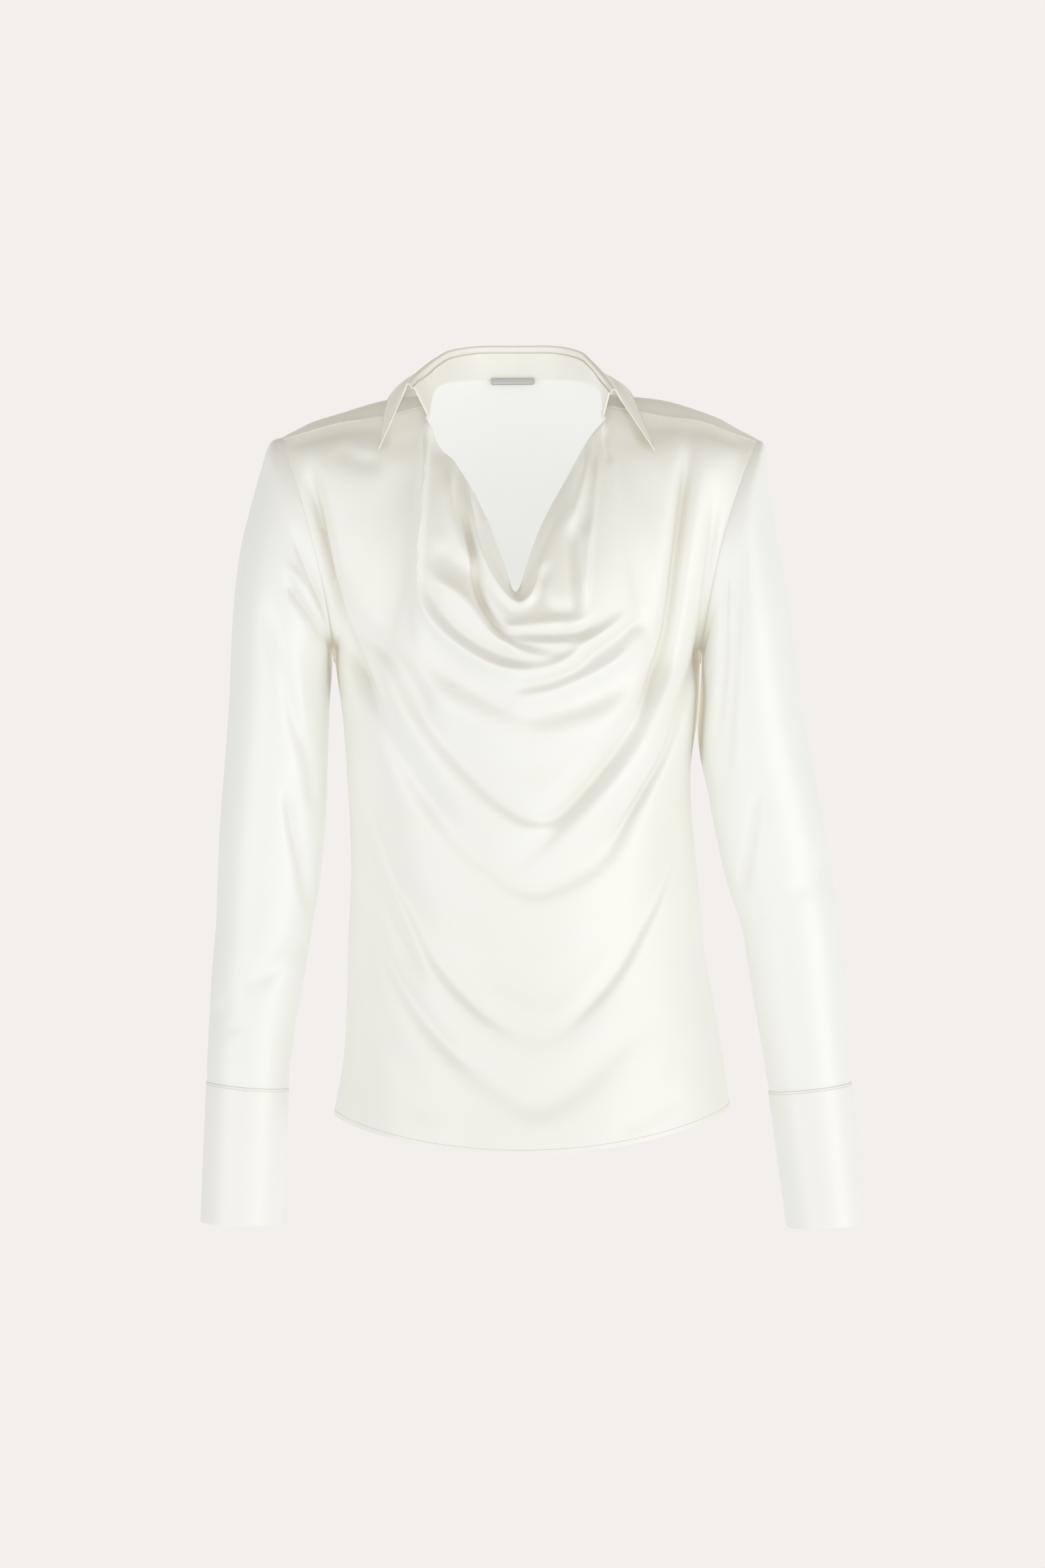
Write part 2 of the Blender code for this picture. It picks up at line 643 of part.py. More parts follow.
def shoulder_normal(side):
    return Vector((0.12 * side, -0.60, 0.79)).normalized()


def set_torso_edges(rows, normals, front):
    """Turns the normals along the seams so that joined walls stand face to face."""
    last = len(rows[0]) - 1
    for i in range(len(rows)):
        for j, side in ((0, RIGHT), (last, LEFT)):
            normal = normals[i][j]
            if i <= LOWER_ROWS:
                normals[i][j] = Vector((side, 0, 0))
            elif normal.x * side < PANEL_EDGE_LEAN:
                normal.x = PANEL_EDGE_LEAN * side
                normals[i][j] = normal.normalized()
    neck_column = FRONT_NECK_COLUMN if front else BACK_NECK_COLUMN
    for j, u in enumerate(columns()):
        if abs(u) >= neck_column:
            normals[-1][j] = shoulder_normal(RIGHT if u < 0 else LEFT)


def torso_panel(name, front, finish):
    rows = front_grid() if front else back_grid()
    sign = 1 if front else -1
    normals = normals_of(rows, False, sign)
    folds = FRONT_FOLDS if front else BACK_FOLDS
    top = len(rows) - 1

    def fade(i, j):
        u = abs(columns()[j])
        at_side = smooth_step((1 - u) / SIDE_SEAM_FADE)
        free_edge = front and u < FRONT_POINT_COLUMN - NECKLINE_FREE_MARGIN
        at_top = 1.0 if free_edge else smooth_step((top - i) / 2)
        return at_side * at_top

    raise_folds(rows, normals, folds, fade)
    normals = normals_of(rows, False, sign)
    set_torso_edges(rows, normals, front)
    half_gap = SEAM_GAP / 2 * (-1 if front else 1)
    for i in range(LOWER_ROWS + 1):
        for j in (0, -1):
            rows[i][j].y = half_gap
    for j, u in enumerate(columns()):
        if abs(u) >= (FRONT_NECK_COLUMN if front else BACK_NECK_COLUMN):
            rows[-1][j] += Vector((0, half_gap, half_gap))
    inner = offset(rows, normals, -WALL)
    return wall(name, rows, inner, False, finish)


def sleeve_ring(section, side, angle):
    """Point of a sleeve's ring, by its angle from the outer point towards the front."""
    turn = math.radians(angle)
    outer = Vector((section.outer_x, section.swing, section.outer_z))
    inner = Vector((section.inner_x, section.swing, section.inner_z))
    point = outer.lerp(inner, (1 - math.cos(turn)) / 2)
    depth = section.front_y if math.sin(turn) >= 0 else section.back_y
    point.y -= depth * math.sin(turn)
    return point


def sleeve_grid(side):
    angles = [360 * k / SLEEVE_SIDES for k in range(SLEEVE_SIDES)]
    first = []
    for angle in angles:
        point = armhole_point(side, angle if angle <= 180 else angle - 360)
        first.append(point + Vector((ARMHOLE_GAP * side, 0, 0)))
    rows = [first]
    for section in SLEEVE[side]:
        rows.append([sleeve_ring(section, side, angle) for angle in angles])
    for k, share in enumerate(BOW_BELOW_ARMHOLE):
        for j, angle in enumerate(angles):
            rows[k + 1][j].x += armhole_bow(side, min(angle, 360 - angle)) * share
    return rows


def sleeve(name, side, finish):
    rows = sleeve_grid(side)
    normals = normals_of(rows, True, side)
    raise_folds(rows, normals, SLEEVE_FOLDS[side], sleeve_fade(len(rows)))
    normals = normals_of(rows, True, side)
    for j, normal in enumerate(normals[0]):
        if -SLEEVE_EDGE_LEAN < normal.x * side < 0:
            normal.x = 0.0
            normals[0][j] = normal.normalized()
    inner = offset(rows, normals, -WALL)
    for j, point in enumerate(inner[0]):
        if (point.x - rows[0][j].x) * side < 0:
            point.x = rows[0][j].x
    return wall(name, rows, inner, True, finish)


def sleeve_fade(count):
    """Folds show on the sleeve's front half and die out at its two seams."""

    def fade(i, j):
        turn = math.radians(360 * j / SLEEVE_SIDES)
        in_front = smooth_step(math.sin(turn) * 2.5)
        return in_front * smooth_step(i / 2) * smooth_step((count - 1 - i) / 2)

    return fade


def cuff(name, side, finish):
    angles = [360 * k / SLEEVE_SIDES for k in range(SLEEVE_SIDES)]
    seam = SLEEVE[side][-1]
    low = CUFF_BOTTOM[side]
    down = Vector((0, 0, -SEAM_GAP))
    rows = []
    for i in range(CUFF_ROWS + 1):
        share = i / CUFF_ROWS
        row = []
        for angle in angles:
            top = sleeve_ring(seam, side, angle) + down
            out = Vector((math.cos(math.radians(angle)) * side, -math.sin(math.radians(angle)), 0))
            top += out * CUFF_TOP_GROWTH
            row.append(top.lerp(sleeve_ring(low, side, angle), share))
        rows.append(row)
    normals = normals_of(rows, True, side)
    inner = offset(rows, normals, -CUFF_WALL)
    return wall(name, rows, inner, True, finish)


def collar_columns():
    return [-1 + 2 * i / COLLAR_COLUMNS for i in range(COLLAR_COLUMNS + 1)]


def stand_top(s):
    """Where the stand ends and the turned collar begins, on the neck side."""
    fold = around_neck(FOLD_LINE, s)
    seam = around_neck(NECK_SEAM, s)
    share = STAND_END_SHARE + (1 - STAND_END_SHARE) * smooth_step((1 - abs(s)) / STAND_END_FADE)
    return fold + (seam - fold).normalized() * STAND_SEAM_BELOW_FOLD * share


def collar_stand(name, finish):
    """A band that rises from the neck seam; its neck side is the inner grid."""
    outer = []
    inner = []
    for i in range(STAND_ROWS + 1):
        outer_row = []
        inner_row = []
        for s in collar_columns():
            seam = around_neck(NECK_SEAM, s)
            out = away_from_neck(seam)
            top = stand_top(s)
            rise = (top - seam).normalized()
            low = seam + rise * SEAM_GAP - out * COLLAR_WALL
            face = low.lerp(top - rise * SEAM_GAP, i / STAND_ROWS)
            inner_row.append(face)
            outer_row.append(face + out * COLLAR_WALL)
        outer.append(outer_row)
        inner.append(inner_row)
    return wall(name, outer, inner, False, finish)


def collar_fall(name, finish):
    """The collar from the stand's top, up over the fold line and down to its edge."""
    up = Vector((0, 0, 1))
    lines = []
    for s in collar_columns():
        start = stand_top(s)
        fold = around_neck(FOLD_LINE, s)
        edge = around_neck(COLLAR_EDGE, s)
        out = edge - fold
        out.z = 0
        out.normalize()
        neck_side = fold - up * FOLD_RADIUS
        outside = neck_side + out * 2 * FOLD_RADIUS
        line = [start, neck_side.lerp(start, 0.25)]
        line += [fold + (out * across + up * rise) * FOLD_RADIUS for across, rise in FALL_TURN]
        for share in FALL_DOWN:
            fade = smooth_step((1 - abs(s)) / COLLAR_POINT_FADE)
            bulge = COLLAR_BULGE * math.sin(math.pi * share) * fade
            line.append(outside.lerp(edge, share) + out * bulge)
        lines.append(line)
    rows = [list(row) for row in zip(*lines)]
    normals = normals_of(rows, False, 1)
    normals[0] = [-away_from_neck(around_neck(NECK_SEAM, s)) for s in collar_columns()]
    inner = offset(rows, normals, -COLLAR_WALL)
    return wall(name, rows, inner, False, finish)


def label(name, finish):
    """A thin bar with round corners that follows the inside of the back neck seam."""
    face = []
    back = []
    for z_shift in (-LABEL_HEIGHT / 2, LABEL_HEIGHT / 2):
        back_points = []
        for i in range(LABEL_STEPS + 1):
            along = i / LABEL_STEPS
            x = LABEL_X + LABEL_WIDTH * (along - 0.5)
            round_off = max(LABEL_CORNER - LABEL_WIDTH * min(along, 1 - along), 0)
            drop = LABEL_CORNER - math.sqrt(LABEL_CORNER ** 2 - round_off ** 2)
            seam = around_neck(NECK_SEAM, (x - NECK_CENTRE_X) / NECK_REACH)
            z = seam.z + z_shift - math.copysign(drop * LABEL_CORNER_DROP, z_shift)
            y = seam.y - COLLAR_WALL - LABEL_CLEARANCE - LABEL_TILT * max(z_shift, 0)
            back_points.append(Vector((x, y, z)))
        back.append(back_points)
        face.append([point - Vector((0, LABEL_THICKNESS, 0)) for point in back_points])
    return wall(name, face, back, False, finish)


def main():
    for old in list(bpy.data.objects):
        bpy.data.objects.remove(old)
    torso_panel("front", True, material("front_satin", SATIN, 0.34))
    torso_panel("back", False, material("back_satin", SATIN, 0.34))
    for side, word in ((RIGHT, "right"), (LEFT, "left")):
        sleeve(f"sleeve_{word}", side, material(f"sleeve_{word}_satin", SATIN, 0.34))
        cuff(f"cuff_{word}", side, material(f"cuff_{word}_satin", CUFF_SATIN, 0.36))
    collar_stand("collar_stand", material("stand_satin", COLLAR_SATIN, 0.36))
    collar_fall("collar_fall", material("fall_satin", COLLAR_SATIN, 0.36))
    label("label", material("label_metal", LABEL_METAL, 0.35, 0.9))


main()
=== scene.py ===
# %% [markdown]
# # An ivory silk blouse with a cowl neck
# A blouse is a handful of flat pieces of cloth, sewn together and filled out by the body.
# This lesson builds it the way it is sewn: front, back, two sleeves, two cuffs, a collar
# stand, a turned-out collar and a small metal label. Each piece is a thin closed shell with
# its creases laid in one by one, and everything hangs on one frame of plain solids.

# %% Load the frame of plain solids
import math
from collections import namedtuple

import bpy
import numpy as np
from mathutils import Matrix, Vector


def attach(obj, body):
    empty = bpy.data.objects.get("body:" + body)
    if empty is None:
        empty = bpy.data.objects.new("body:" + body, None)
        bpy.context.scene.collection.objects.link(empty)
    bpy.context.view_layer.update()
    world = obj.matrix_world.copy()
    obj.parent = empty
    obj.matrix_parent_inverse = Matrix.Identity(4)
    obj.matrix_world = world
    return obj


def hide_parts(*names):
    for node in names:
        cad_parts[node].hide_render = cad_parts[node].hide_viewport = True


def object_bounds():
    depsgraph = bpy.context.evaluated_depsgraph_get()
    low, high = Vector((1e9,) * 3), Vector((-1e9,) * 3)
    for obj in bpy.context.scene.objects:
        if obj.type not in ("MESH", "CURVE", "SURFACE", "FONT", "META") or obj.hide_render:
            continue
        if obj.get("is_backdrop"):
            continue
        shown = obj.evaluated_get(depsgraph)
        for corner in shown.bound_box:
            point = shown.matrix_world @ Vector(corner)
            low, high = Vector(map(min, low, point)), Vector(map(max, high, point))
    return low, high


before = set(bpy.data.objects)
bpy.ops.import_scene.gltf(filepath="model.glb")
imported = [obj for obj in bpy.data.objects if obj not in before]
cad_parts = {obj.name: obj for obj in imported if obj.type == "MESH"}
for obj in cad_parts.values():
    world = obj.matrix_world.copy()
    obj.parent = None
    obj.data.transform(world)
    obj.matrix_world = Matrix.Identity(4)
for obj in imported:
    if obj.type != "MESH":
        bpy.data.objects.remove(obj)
solid_low, solid_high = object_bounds()
print("solids:", ", ".join(sorted(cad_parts)))

# %% [markdown]
# ## Camera first
# The garment is seen straight from the front, from about three metres away with a long
# lens. The camera comes first because the folds are placed as they are seen from there:
# a crease that hangs 11 cm in front of the shoulders looks a little larger than one at
# the shoulders. The tables are in millimetres, with X to the wearer's left, -Y to the
# front and Z up, and the origin lies between the shoulders. MM turns them into metres.

# %% Camera
MM = 0.001
EYE_X = 2.24
EYE_Z = -322.6
EYE_DISTANCE = 3110
LENS = 85

camera_data = bpy.data.cameras.new("camera")
camera_data.lens = LENS
camera = bpy.data.objects.new("camera", camera_data)
bpy.context.scene.collection.objects.link(camera)
camera.location = Vector((EYE_X, -EYE_DISTANCE, EYE_Z)) * MM
camera.rotation_euler = (math.radians(90), 0, 0)
bpy.context.scene.camera = camera


def as_seen(points):
    """Places of points in the plane y = 0, as the camera's eye lines them up."""
    nearer = (EYE_DISTANCE + points[..., 1]) / EYE_DISTANCE
    x = EYE_X + (points[..., 0] - EYE_X) / nearer
    z = EYE_Z + (points[..., 2] - EYE_Z) / nearer
    return np.stack([x, z], axis=-1)


print("camera at", [round(value, 3) for value in camera.location])

# %% [markdown]
# ## A smooth curve through a few values
# Pattern makers mark a few points and join them with a French curve. The same idea is
# used for everything here: a smooth curve through numbers, points or whole rows of points.
# Blender has curve objects for this, but a small function on arrays lets one row of a
# table drive thousands of points at once.

# %% Curves on arrays
RIGHT = -1
LEFT = 1


def curve(knots, values, t):
    """Value at t of a smooth curve through values (numbers, points or rows of points)."""
    knots = np.asarray(knots, float)
    values = np.asarray(values, float)
    t = np.clip(np.asarray(t, float), knots[0], knots[-1])
    extra = (1,) * (values.ndim - 1)
    steps = np.diff(knots)
    rises = np.diff(values, axis=0) / steps.reshape(-1, *extra)
    short = steps[:-1].reshape(-1, *extra)
    long = steps[1:].reshape(-1, *extra)
    middle = (rises[:-1] * long + rises[1:] * short) / (short + long)
    slopes = np.concatenate([rises[:1], middle, rises[-1:]])
    i = np.clip(np.searchsorted(knots, t) - 1, 0, len(knots) - 2)
    span = steps[i].reshape(t.shape + extra)
    f = ((t - knots[i]) / steps[i]).reshape(t.shape + extra)
    start = values[i] * (1 + 2 * f) * (1 - f) ** 2 + slopes[i] * span * f * (1 - f) ** 2
    end = values[i + 1] * f * f * (3 - 2 * f) + slopes[i + 1] * span * f * f * (f - 1)
    return start + end


def smooth_step(t):
    t = np.clip(t, 0.0, 1.0)
    return t * t * (3 - 2 * t)


def bell(distance, width):
    """A soft bump: 1 at no distance, and next to nothing two widths away."""
    return np.exp(-((distance / width) ** 2))


def lengths_along(points):
    """Distance of each point of a line from its first point."""
    return np.concatenate([[0], np.cumsum(np.linalg.norm(np.diff(points, axis=0), axis=1))])


def vector(x, y, z):
    return np.array([x, y, z], float)


def side_of(u):
    """The wearer's side of a place across the garment, from -1 at the right to 1."""
    return RIGHT if u < 0 else LEFT


def of_side(row, side, what):
    """A value of a table row that differs between the wearer's right and left."""
    return getattr(row, ("right_" if side == RIGHT else "left_") + what)


print("halfway through 0, 1, 4:", float(curve([0, 1, 2], [0, 1, 4], 0.5)))

# %% [markdown]
# ## The torso's sections
# A tailor measures round the body at the hem, hip, waist, bust and underarm. Each row
# below is one such level: where the two side seams are, how deep the front and back
# stand, and how far their middle dips below the seams, because this cloth hangs in swags.
# Whole rings would do for a plain tube. Half sections keep the front and the back apart
# from the start, so that each panel becomes a piece of its own, as it is cut.

# %% Torso table
TorsoSection = namedtuple(
    "TorsoSection", "name at right_x left_x right_z left_z front_y back_y front_dip back_dip"
)
TORSO = [
    TorsoSection("hem", 0.00, -156.2, 176.5, -598.5, -592.5, -115, 112, 27, 26),
    TorsoSection("above_hem", 0.11, -148.6, 171.0, -556.5, -553.5, -112, 110, 32, 25),
    TorsoSection("hip", 0.23, -145.4, 163.0, -508, -506, -109, 105, 40, 22),
    TorsoSection("below_waist", 0.36, -144.4, 154.0, -454, -454, -105, 94, 49, 18),
    TorsoSection("waist", 0.50, -141.9, 149.2, -396, -396, -102, 84, 58, 14),
    TorsoSection("above_waist", 0.60, -143.0, 145.0, -356, -356, -104, 82, 64, 10),
    TorsoSection("ribs", 0.72, -145.6, 143.6, -308, -308, -108, 85, 70, 7),
    TorsoSection("bust", 0.86, -149.4, 149.9, -262, -262, -114, 90, 76, 4),
    TorsoSection("underarm", 1.00, -156.6, 151.6, -211, -211, -118, 94, 84, 2),
]
DIP_POWER = 1.8
TORSO_COLUMNS = 36
LOWER_ROWS = 20
COLUMNS = np.linspace(-1, 1, TORSO_COLUMNS + 1)


def torso_section(row, front):
    """A level section, from the right side seam to the left one."""
    turn = COLUMNS * math.pi / 2
    across = np.cos(turn)
    depth = row.front_y if front else row.back_y
    dip = row.front_dip if front else row.back_dip
    x = (row.right_x + row.left_x) / 2 + (row.left_x - row.right_x) / 2 * np.sin(turn)
    level = (row.right_z + row.left_z) / 2 + (row.left_z - row.right_z) / 2 * np.sin(turn)
    return np.stack([x, depth * across, level - dip * across**DIP_POWER], axis=-1)


def lower_grid(front):
    """Rows of points from the hem to the underarm."""
    sections = [torso_section(row, front) for row in TORSO]
    return curve([row.at for row in TORSO], sections, np.linspace(0, 1, LOWER_ROWS + 1))


print("hem half girth (mm):", round(TORSO[0].left_x - TORSO[0].right_x, 1))

# %% [markdown]
# ## Armholes and shoulders
# The armhole is a tilted oval from the shoulder point to the underarm point. The forward
# shoulder seam runs ahead of the shoulder's ridge, so the back panel comes over the top.
# Both could be drawn as curve objects. As formulas, they give the same points to the panel
# and to the sleeve that is sewn to it, so no gap opens between them.

# %% Armhole and shoulder tables
Armhole = namedtuple("Armhole", "top_x top_z bottom_x bottom_z front_y back_y bow bow_angle")
ARMHOLE = {
    RIGHT: Armhole(-199, -31, -156.6, -211, -48, 52, 6, 110),
    LEFT: Armhole(200, -33, 151.6, -211, -48, 52, -8, 80),
}
SEAM_ANGLE = 15
LIP_ANGLE = 24

Shoulder = namedtuple(
    "Shoulder", "at right_x left_x seam_y right_seam_z left_seam_z right_ridge_z left_ridge_z"
)
SHOULDERS = [
    Shoulder(0.15, -184, 176, -19, -30.3, -28.8, -21.3, -18.5),
    Shoulder(0.42, -151, 150, -25, -21.5, -20.0, -11.3, -7.7),
    Shoulder(0.70, -116, 119, -29, -16.8, -16.3, -0.5, 0.5),
    Shoulder(1.00, -76.8, 71.0, -34, -7.0, -7.0, 10.5, 10.5),
]
SHOULDER_BACK_FALL = 0.010
SHOULDER_BACK_SPREAD = 0.7


def armhole_bow(side, angle):
    """How far the armhole bows towards the chest, at an angle of 0 to 180 from its top."""
    hole = ARMHOLE[side]
    lean = math.cos(math.radians(angle - hole.bow_angle)) * math.sin(math.radians(angle))
    return hole.bow * max(lean, 0)


def armhole_point(side, angle):
    """Point of an armhole, by its angle in degrees from the top towards the front."""
    hole = ARMHOLE[side]
    turn = math.radians(angle)
    along = (1 - math.cos(turn)) / 2
    x = hole.top_x + (hole.bottom_x - hole.top_x) * along
    z = hole.top_z + (hole.bottom_z - hole.top_z) * along
    depth = hole.front_y if math.sin(turn) >= 0 else hole.back_y
    return vector(x + armhole_bow(side, abs(angle)), depth * abs(math.sin(turn)), z)


def shoulder_point(side, at, y=None):
    """Point on the shoulder: on the forward seam, or at depth y over the top of it."""
    knots = [0.0] + [row.at for row in SHOULDERS]
    seams = [armhole_point(side, SEAM_ANGLE)]
    for row in SHOULDERS:
        seams.append(vector(of_side(row, side, "x"), row.seam_y, of_side(row, side, "seam_z")))
    seam = curve(knots, seams, at)
    if y is None:
        return seam
    ridges = [ARMHOLE[side].top_z] + [of_side(row, side, "ridge_z") for row in SHOULDERS]
    ridge_z = float(curve(knots, ridges, at))
    if y < 0:
        return vector(seam[0], y, ridge_z - (ridge_z - seam[2]) * (y / seam[1]) ** 2)
    return vector(seam[0], y, ridge_z - SHOULDER_BACK_FALL * y * y)


print("shoulder points (mm):", ARMHOLE[RIGHT].top_x, ARMHOLE[LEFT].top_x)

# %% [markdown]
# ## Round the neck
# Three curves run round the neck: the seam where the stand is sewn on, the line over
# which the collar folds, and the collar's outer edge. The front's own soft edge hangs
# between the two front ends of the neck seam. That edge is the cowl. A real neck isn't quite
# even, so the tables give the wearer's right and left apart, which a mirror modifier can't.

# %% Neck tables
NeckPoint = namedtuple("NeckPoint", "at right_x left_x y right_z left_z")
NECK_SEAM = [
    NeckPoint(0.00, -77.6, 70.8, -52, -18.6, -19.2),
    NeckPoint(0.12, -76.8, 71.0, -34, -7.0, -7.0),
    NeckPoint(0.32, -75.0, 70.0, -8, 6.0, 6.0),
    NeckPoint(0.52, -69.3, 65.3, 18, 15.5, 15.5),
    NeckPoint(0.70, -56.8, 52.7, 42, 21.6, 22.0),
    NeckPoint(0.85, -33.6, 29.6, 59, 24.8, 25.0),
    NeckPoint(1.00, -2.0, -2.0, 65, 25.7, 25.7),
]
FOLD_LINE = [
    NeckPoint(0.00, -89.5, 75.3, -50, 8.6, 4.0),
    NeckPoint(0.12, -85.8, 71.8, -34, 15.6, 11.6),
    NeckPoint(0.32, -76.6, 64.6, -10, 27.8, 23.8),
    NeckPoint(0.52, -67.0, 57.6, 13, 38.2, 35.2),
    NeckPoint(0.70, -55.7, 48.5, 36, 46.7, 45.7),
    NeckPoint(0.85, -33.6, 29.6, 53, 51.9, 51.9),
    NeckPoint(1.00, -2.0, -2.0, 58, 52.7, 52.7),
]
COLLAR_EDGE = [
    NeckPoint(0.00, -116.6, 111.8, -65.5, -47.0, -48.2),
    NeckPoint(0.12, -114.0, 101.0, -43.5, -18.0, -17.0),
    NeckPoint(0.32, -107.0, 91.5, -4, 6.0, 8.4),
    NeckPoint(0.52, -97.0, 86.5, 32, 3.5, 4.0),
    NeckPoint(0.70, -78.0, 72.0, 63, 1.0, 1.0),
    NeckPoint(0.85, -44.0, 40.0, 84, -3.5, -3.5),
    NeckPoint(1.00, -2.0, -2.0, 91, -5.0, -5.0),
]
SHOULDER_SEAM_AT = 0.12
NECK_MIDDLE = vector(-3, 8, 0)

Neckline = namedtuple("Neckline", "column right_x right_z left_x left_z y")
NECKLINE = [
    Neckline(0.00, -3.4, -169.0, -3.4, -169.0, -107),
    Neckline(0.09, -14.6, -137.5, 8.3, -134.5, -98),
    Neckline(0.18, -27.2, -104.0, 19.4, -106.5, -89),
    Neckline(0.27, -40.4, -79.0, 31.5, -83.5, -80),
    Neckline(0.36, -52.6, -58.5, 45.2, -58.5, -71),
    Neckline(0.46, -64.6, -40.0, 57.9, -36.4, -62),
]
FRONT_NECK_COLUMN = 0.62
FRONT_POINT_COLUMN = 0.56
BACK_NECK_COLUMN = 0.50
NECKLINE_FADE = 0.10
BACK_NECK_FADE = 0.08
NECKLINE_TURN_IN = vector(0, 9, -5)
BELOW_SHOULDER_SEAM = vector(0, -6, -9)
BELOW_NECK_SEAM = vector(-1.5, -8, -9)
BELOW_NECKLINE = vector(-0.75, -4, -4.5)


def points_of(table, side):
    """The points of a neck table on one side of the wearer."""
    return [vector(of_side(row, side, "x"), row.y, of_side(row, side, "z")) for row in table]


def neck_point(table, side, at):
    return curve([row.at for row in table], points_of(table, side), at)


def around_neck(table, s):
    """Point of a neck curve at s, from -1 at the wearer's right front to 1 at the left."""
    return neck_point(table, side_of(s), 1 - abs(s))


def away_from_neck(point):
    """Level unit direction from the middle of the neck to a point."""
    flat = (point - NECK_MIDDLE) * vector(1, 1, 0)
    return flat / np.linalg.norm(flat)


def mirrored(offset, side):
    return offset * vector(side, 1, 1)


def neckline_row(u, turned_in):
    """Front upper edge at column u: the shoulder seam, the neck seam, then the neckline."""
    side = side_of(u)
    column = abs(u)
    if column >= FRONT_NECK_COLUMN:
        seam = shoulder_point(side, (1 - column) / (1 - FRONT_NECK_COLUMN))
        return seam if turned_in else seam + BELOW_SHOULDER_SEAM
    if column >= FRONT_POINT_COLUMN:
        share = (column - FRONT_POINT_COLUMN) / (FRONT_NECK_COLUMN - FRONT_POINT_COLUMN)
        seam = neck_point(NECK_SEAM, side, SHOULDER_SEAM_AT * share)
        return seam if turned_in else seam + mirrored(BELOW_NECK_SEAM, side) * (share + 1) / 2
    points = points_of(NECKLINE, side) + [neck_point(NECK_SEAM, side, 0)]
    edge = curve([row.column for row in NECKLINE] + [FRONT_POINT_COLUMN], points, column)
    fade = smooth_step((FRONT_POINT_COLUMN - column) / NECKLINE_FADE)
    if turned_in:
        return edge + NECKLINE_TURN_IN * fade
    return edge + mirrored(BELOW_NECKLINE, side) * (1 - fade)


print("cowl depth below the shoulder seams (mm):", -NECKLINE[0].right_z)

# %% [markdown]
# ## Edges of the back
# The back comes over the shoulders to the forward seams, and its middle is sewn to the
# collar stand. Three rows of points lie over the shoulder at one depth each, and the last
# row is the seam itself. They could be drawn as curves and lofted, but a row made by a
# function follows the armhole and neck tables by itself when those are moved.

# %% Rows over the shoulders
BackRow = namedtuple("BackRow", "name shoulder_y angle neck_start out down")
BACK_ROWS = [
    BackRow("behind", 26, -30, 0.66, 20, 20),
    BackRow("over", 8, -9, 0.50, 8, 5),
    BackRow("ahead", -11, 5, 0.27, 3.5, 1.2),
]


def back_row(row):
    """Points over the shoulders at one depth, then around and below the neck seam."""
    points = []
    widest = 1 + SHOULDER_BACK_SPREAD if row.shoulder_y > 0 else 1
    for u in COLUMNS:
        side = side_of(u)
        column = abs(u)
        if column >= BACK_NECK_COLUMN:
            at = (1 - column) / (1 - BACK_NECK_COLUMN)
            wider = 1 + (widest - 1) * at * at
            points.append(shoulder_point(side, at, row.shoulder_y * wider))
            continue
        seam = neck_point(NECK_SEAM, side, 1 - column / BACK_NECK_COLUMN * (1 - row.neck_start))
        start = shoulder_point(side, 1, row.shoulder_y * widest)
        below = seam + away_from_neck(seam) * row.out - vector(0, 0, row.down)
        fade = smooth_step((BACK_NECK_COLUMN - column) / BACK_NECK_FADE)
        points.append(start + (below - start) * fade)
    points[0] = armhole_point(RIGHT, row.angle)
    points[-1] = armhole_point(LEFT, row.angle)
    return np.array(points)


def back_seam_row():
    """The back's edge: the forward shoulder seams and the neck seam between them."""
    points = []
    for u in COLUMNS:
        side = side_of(u)
        column = abs(u)
        if column >= BACK_NECK_COLUMN:
            points.append(shoulder_point(side, (1 - column) / (1 - BACK_NECK_COLUMN)))
        else:
            at = 1 - column / BACK_NECK_COLUMN * (1 - SHOULDER_SEAM_AT)
            points.append(neck_point(NECK_SEAM, side, at))
    return np.array(points)


print("rows over the shoulders:", ", ".join(row.name for row in BACK_ROWS))

# %% [markdown]
# ## Front and back grids
# Each panel starts as a coarse grid of points: level rows up to the underarm, then rows
# blended up to the neckline, whose ends follow the armholes. A few passes of evening out
# take away the marks of the blend, and the shoulders' ridge is then lifted back to its
# height. A loft or a patch surface could give the same form, but here every row can be
# read and moved.

# %% Coarse grids of the torso
FRONT_UPPER_ROWS = 16
BACK_UPPER_ROWS = 9
CHEST_FULLNESS = 7
BLADE_FULLNESS = 10
FRONT_RELAX = 3
BACK_RELAX = 6
FIRST_RELAXED_ROW = 2
SHOULDER_LIFT_AT = (0, 0.36, 0.50, 0.65, 0.79, 0.925, 1)
SHOULDER_LIFT = (0, 0, 4.5, 8.5, 6.2, 4.8, 0)
SHOULDER_LIFT_ROWS = ((-5, 0.25), (-4, 0.65), (-3, 1.0), (-2, 0.8))


def patch(low, high, top_angle, turn_sign, count, fullness):
    """Rows blended from low to high, whose ends follow the armholes."""
    to_right = smooth_step((1 - COLUMNS) / 2)[:, None] ** 3
    to_left = smooth_step((1 + COLUMNS) / 2)[:, None] ** 3
    rows = []
    for i in range(1, count + 1):
        w = i / count
        angle = turn_sign * 180 + (top_angle - turn_sign * 180) * w
        right = armhole_point(RIGHT, angle)
        left = armhole_point(LEFT, angle)
        row = low + (high - low) * w
        row = row + (right - row[0]) * to_right + (left - row[-1]) * to_left
        row[:, 1] += fullness * (4 * w * (1 - w)) ** 2 * np.cos(COLUMNS * math.pi / 2)
        row[0] = right
        row[-1] = left
        rows.append(row)
    return np.array(rows)


def relax(grid, passes):
    """Evens out the inner points of a grid, and leaves its edges alone."""
    first = FIRST_RELAXED_ROW
    for _ in range(passes):
        beside = grid[first:-1, :-2] + grid[first:-1, 2:]
        around = beside + grid[first - 1 : -2, 1:-1] + grid[first + 1 :, 1:-1]
        grid[first:-1, 1:-1] = (grid[first:-1, 1:-1] + around / 4) / 2


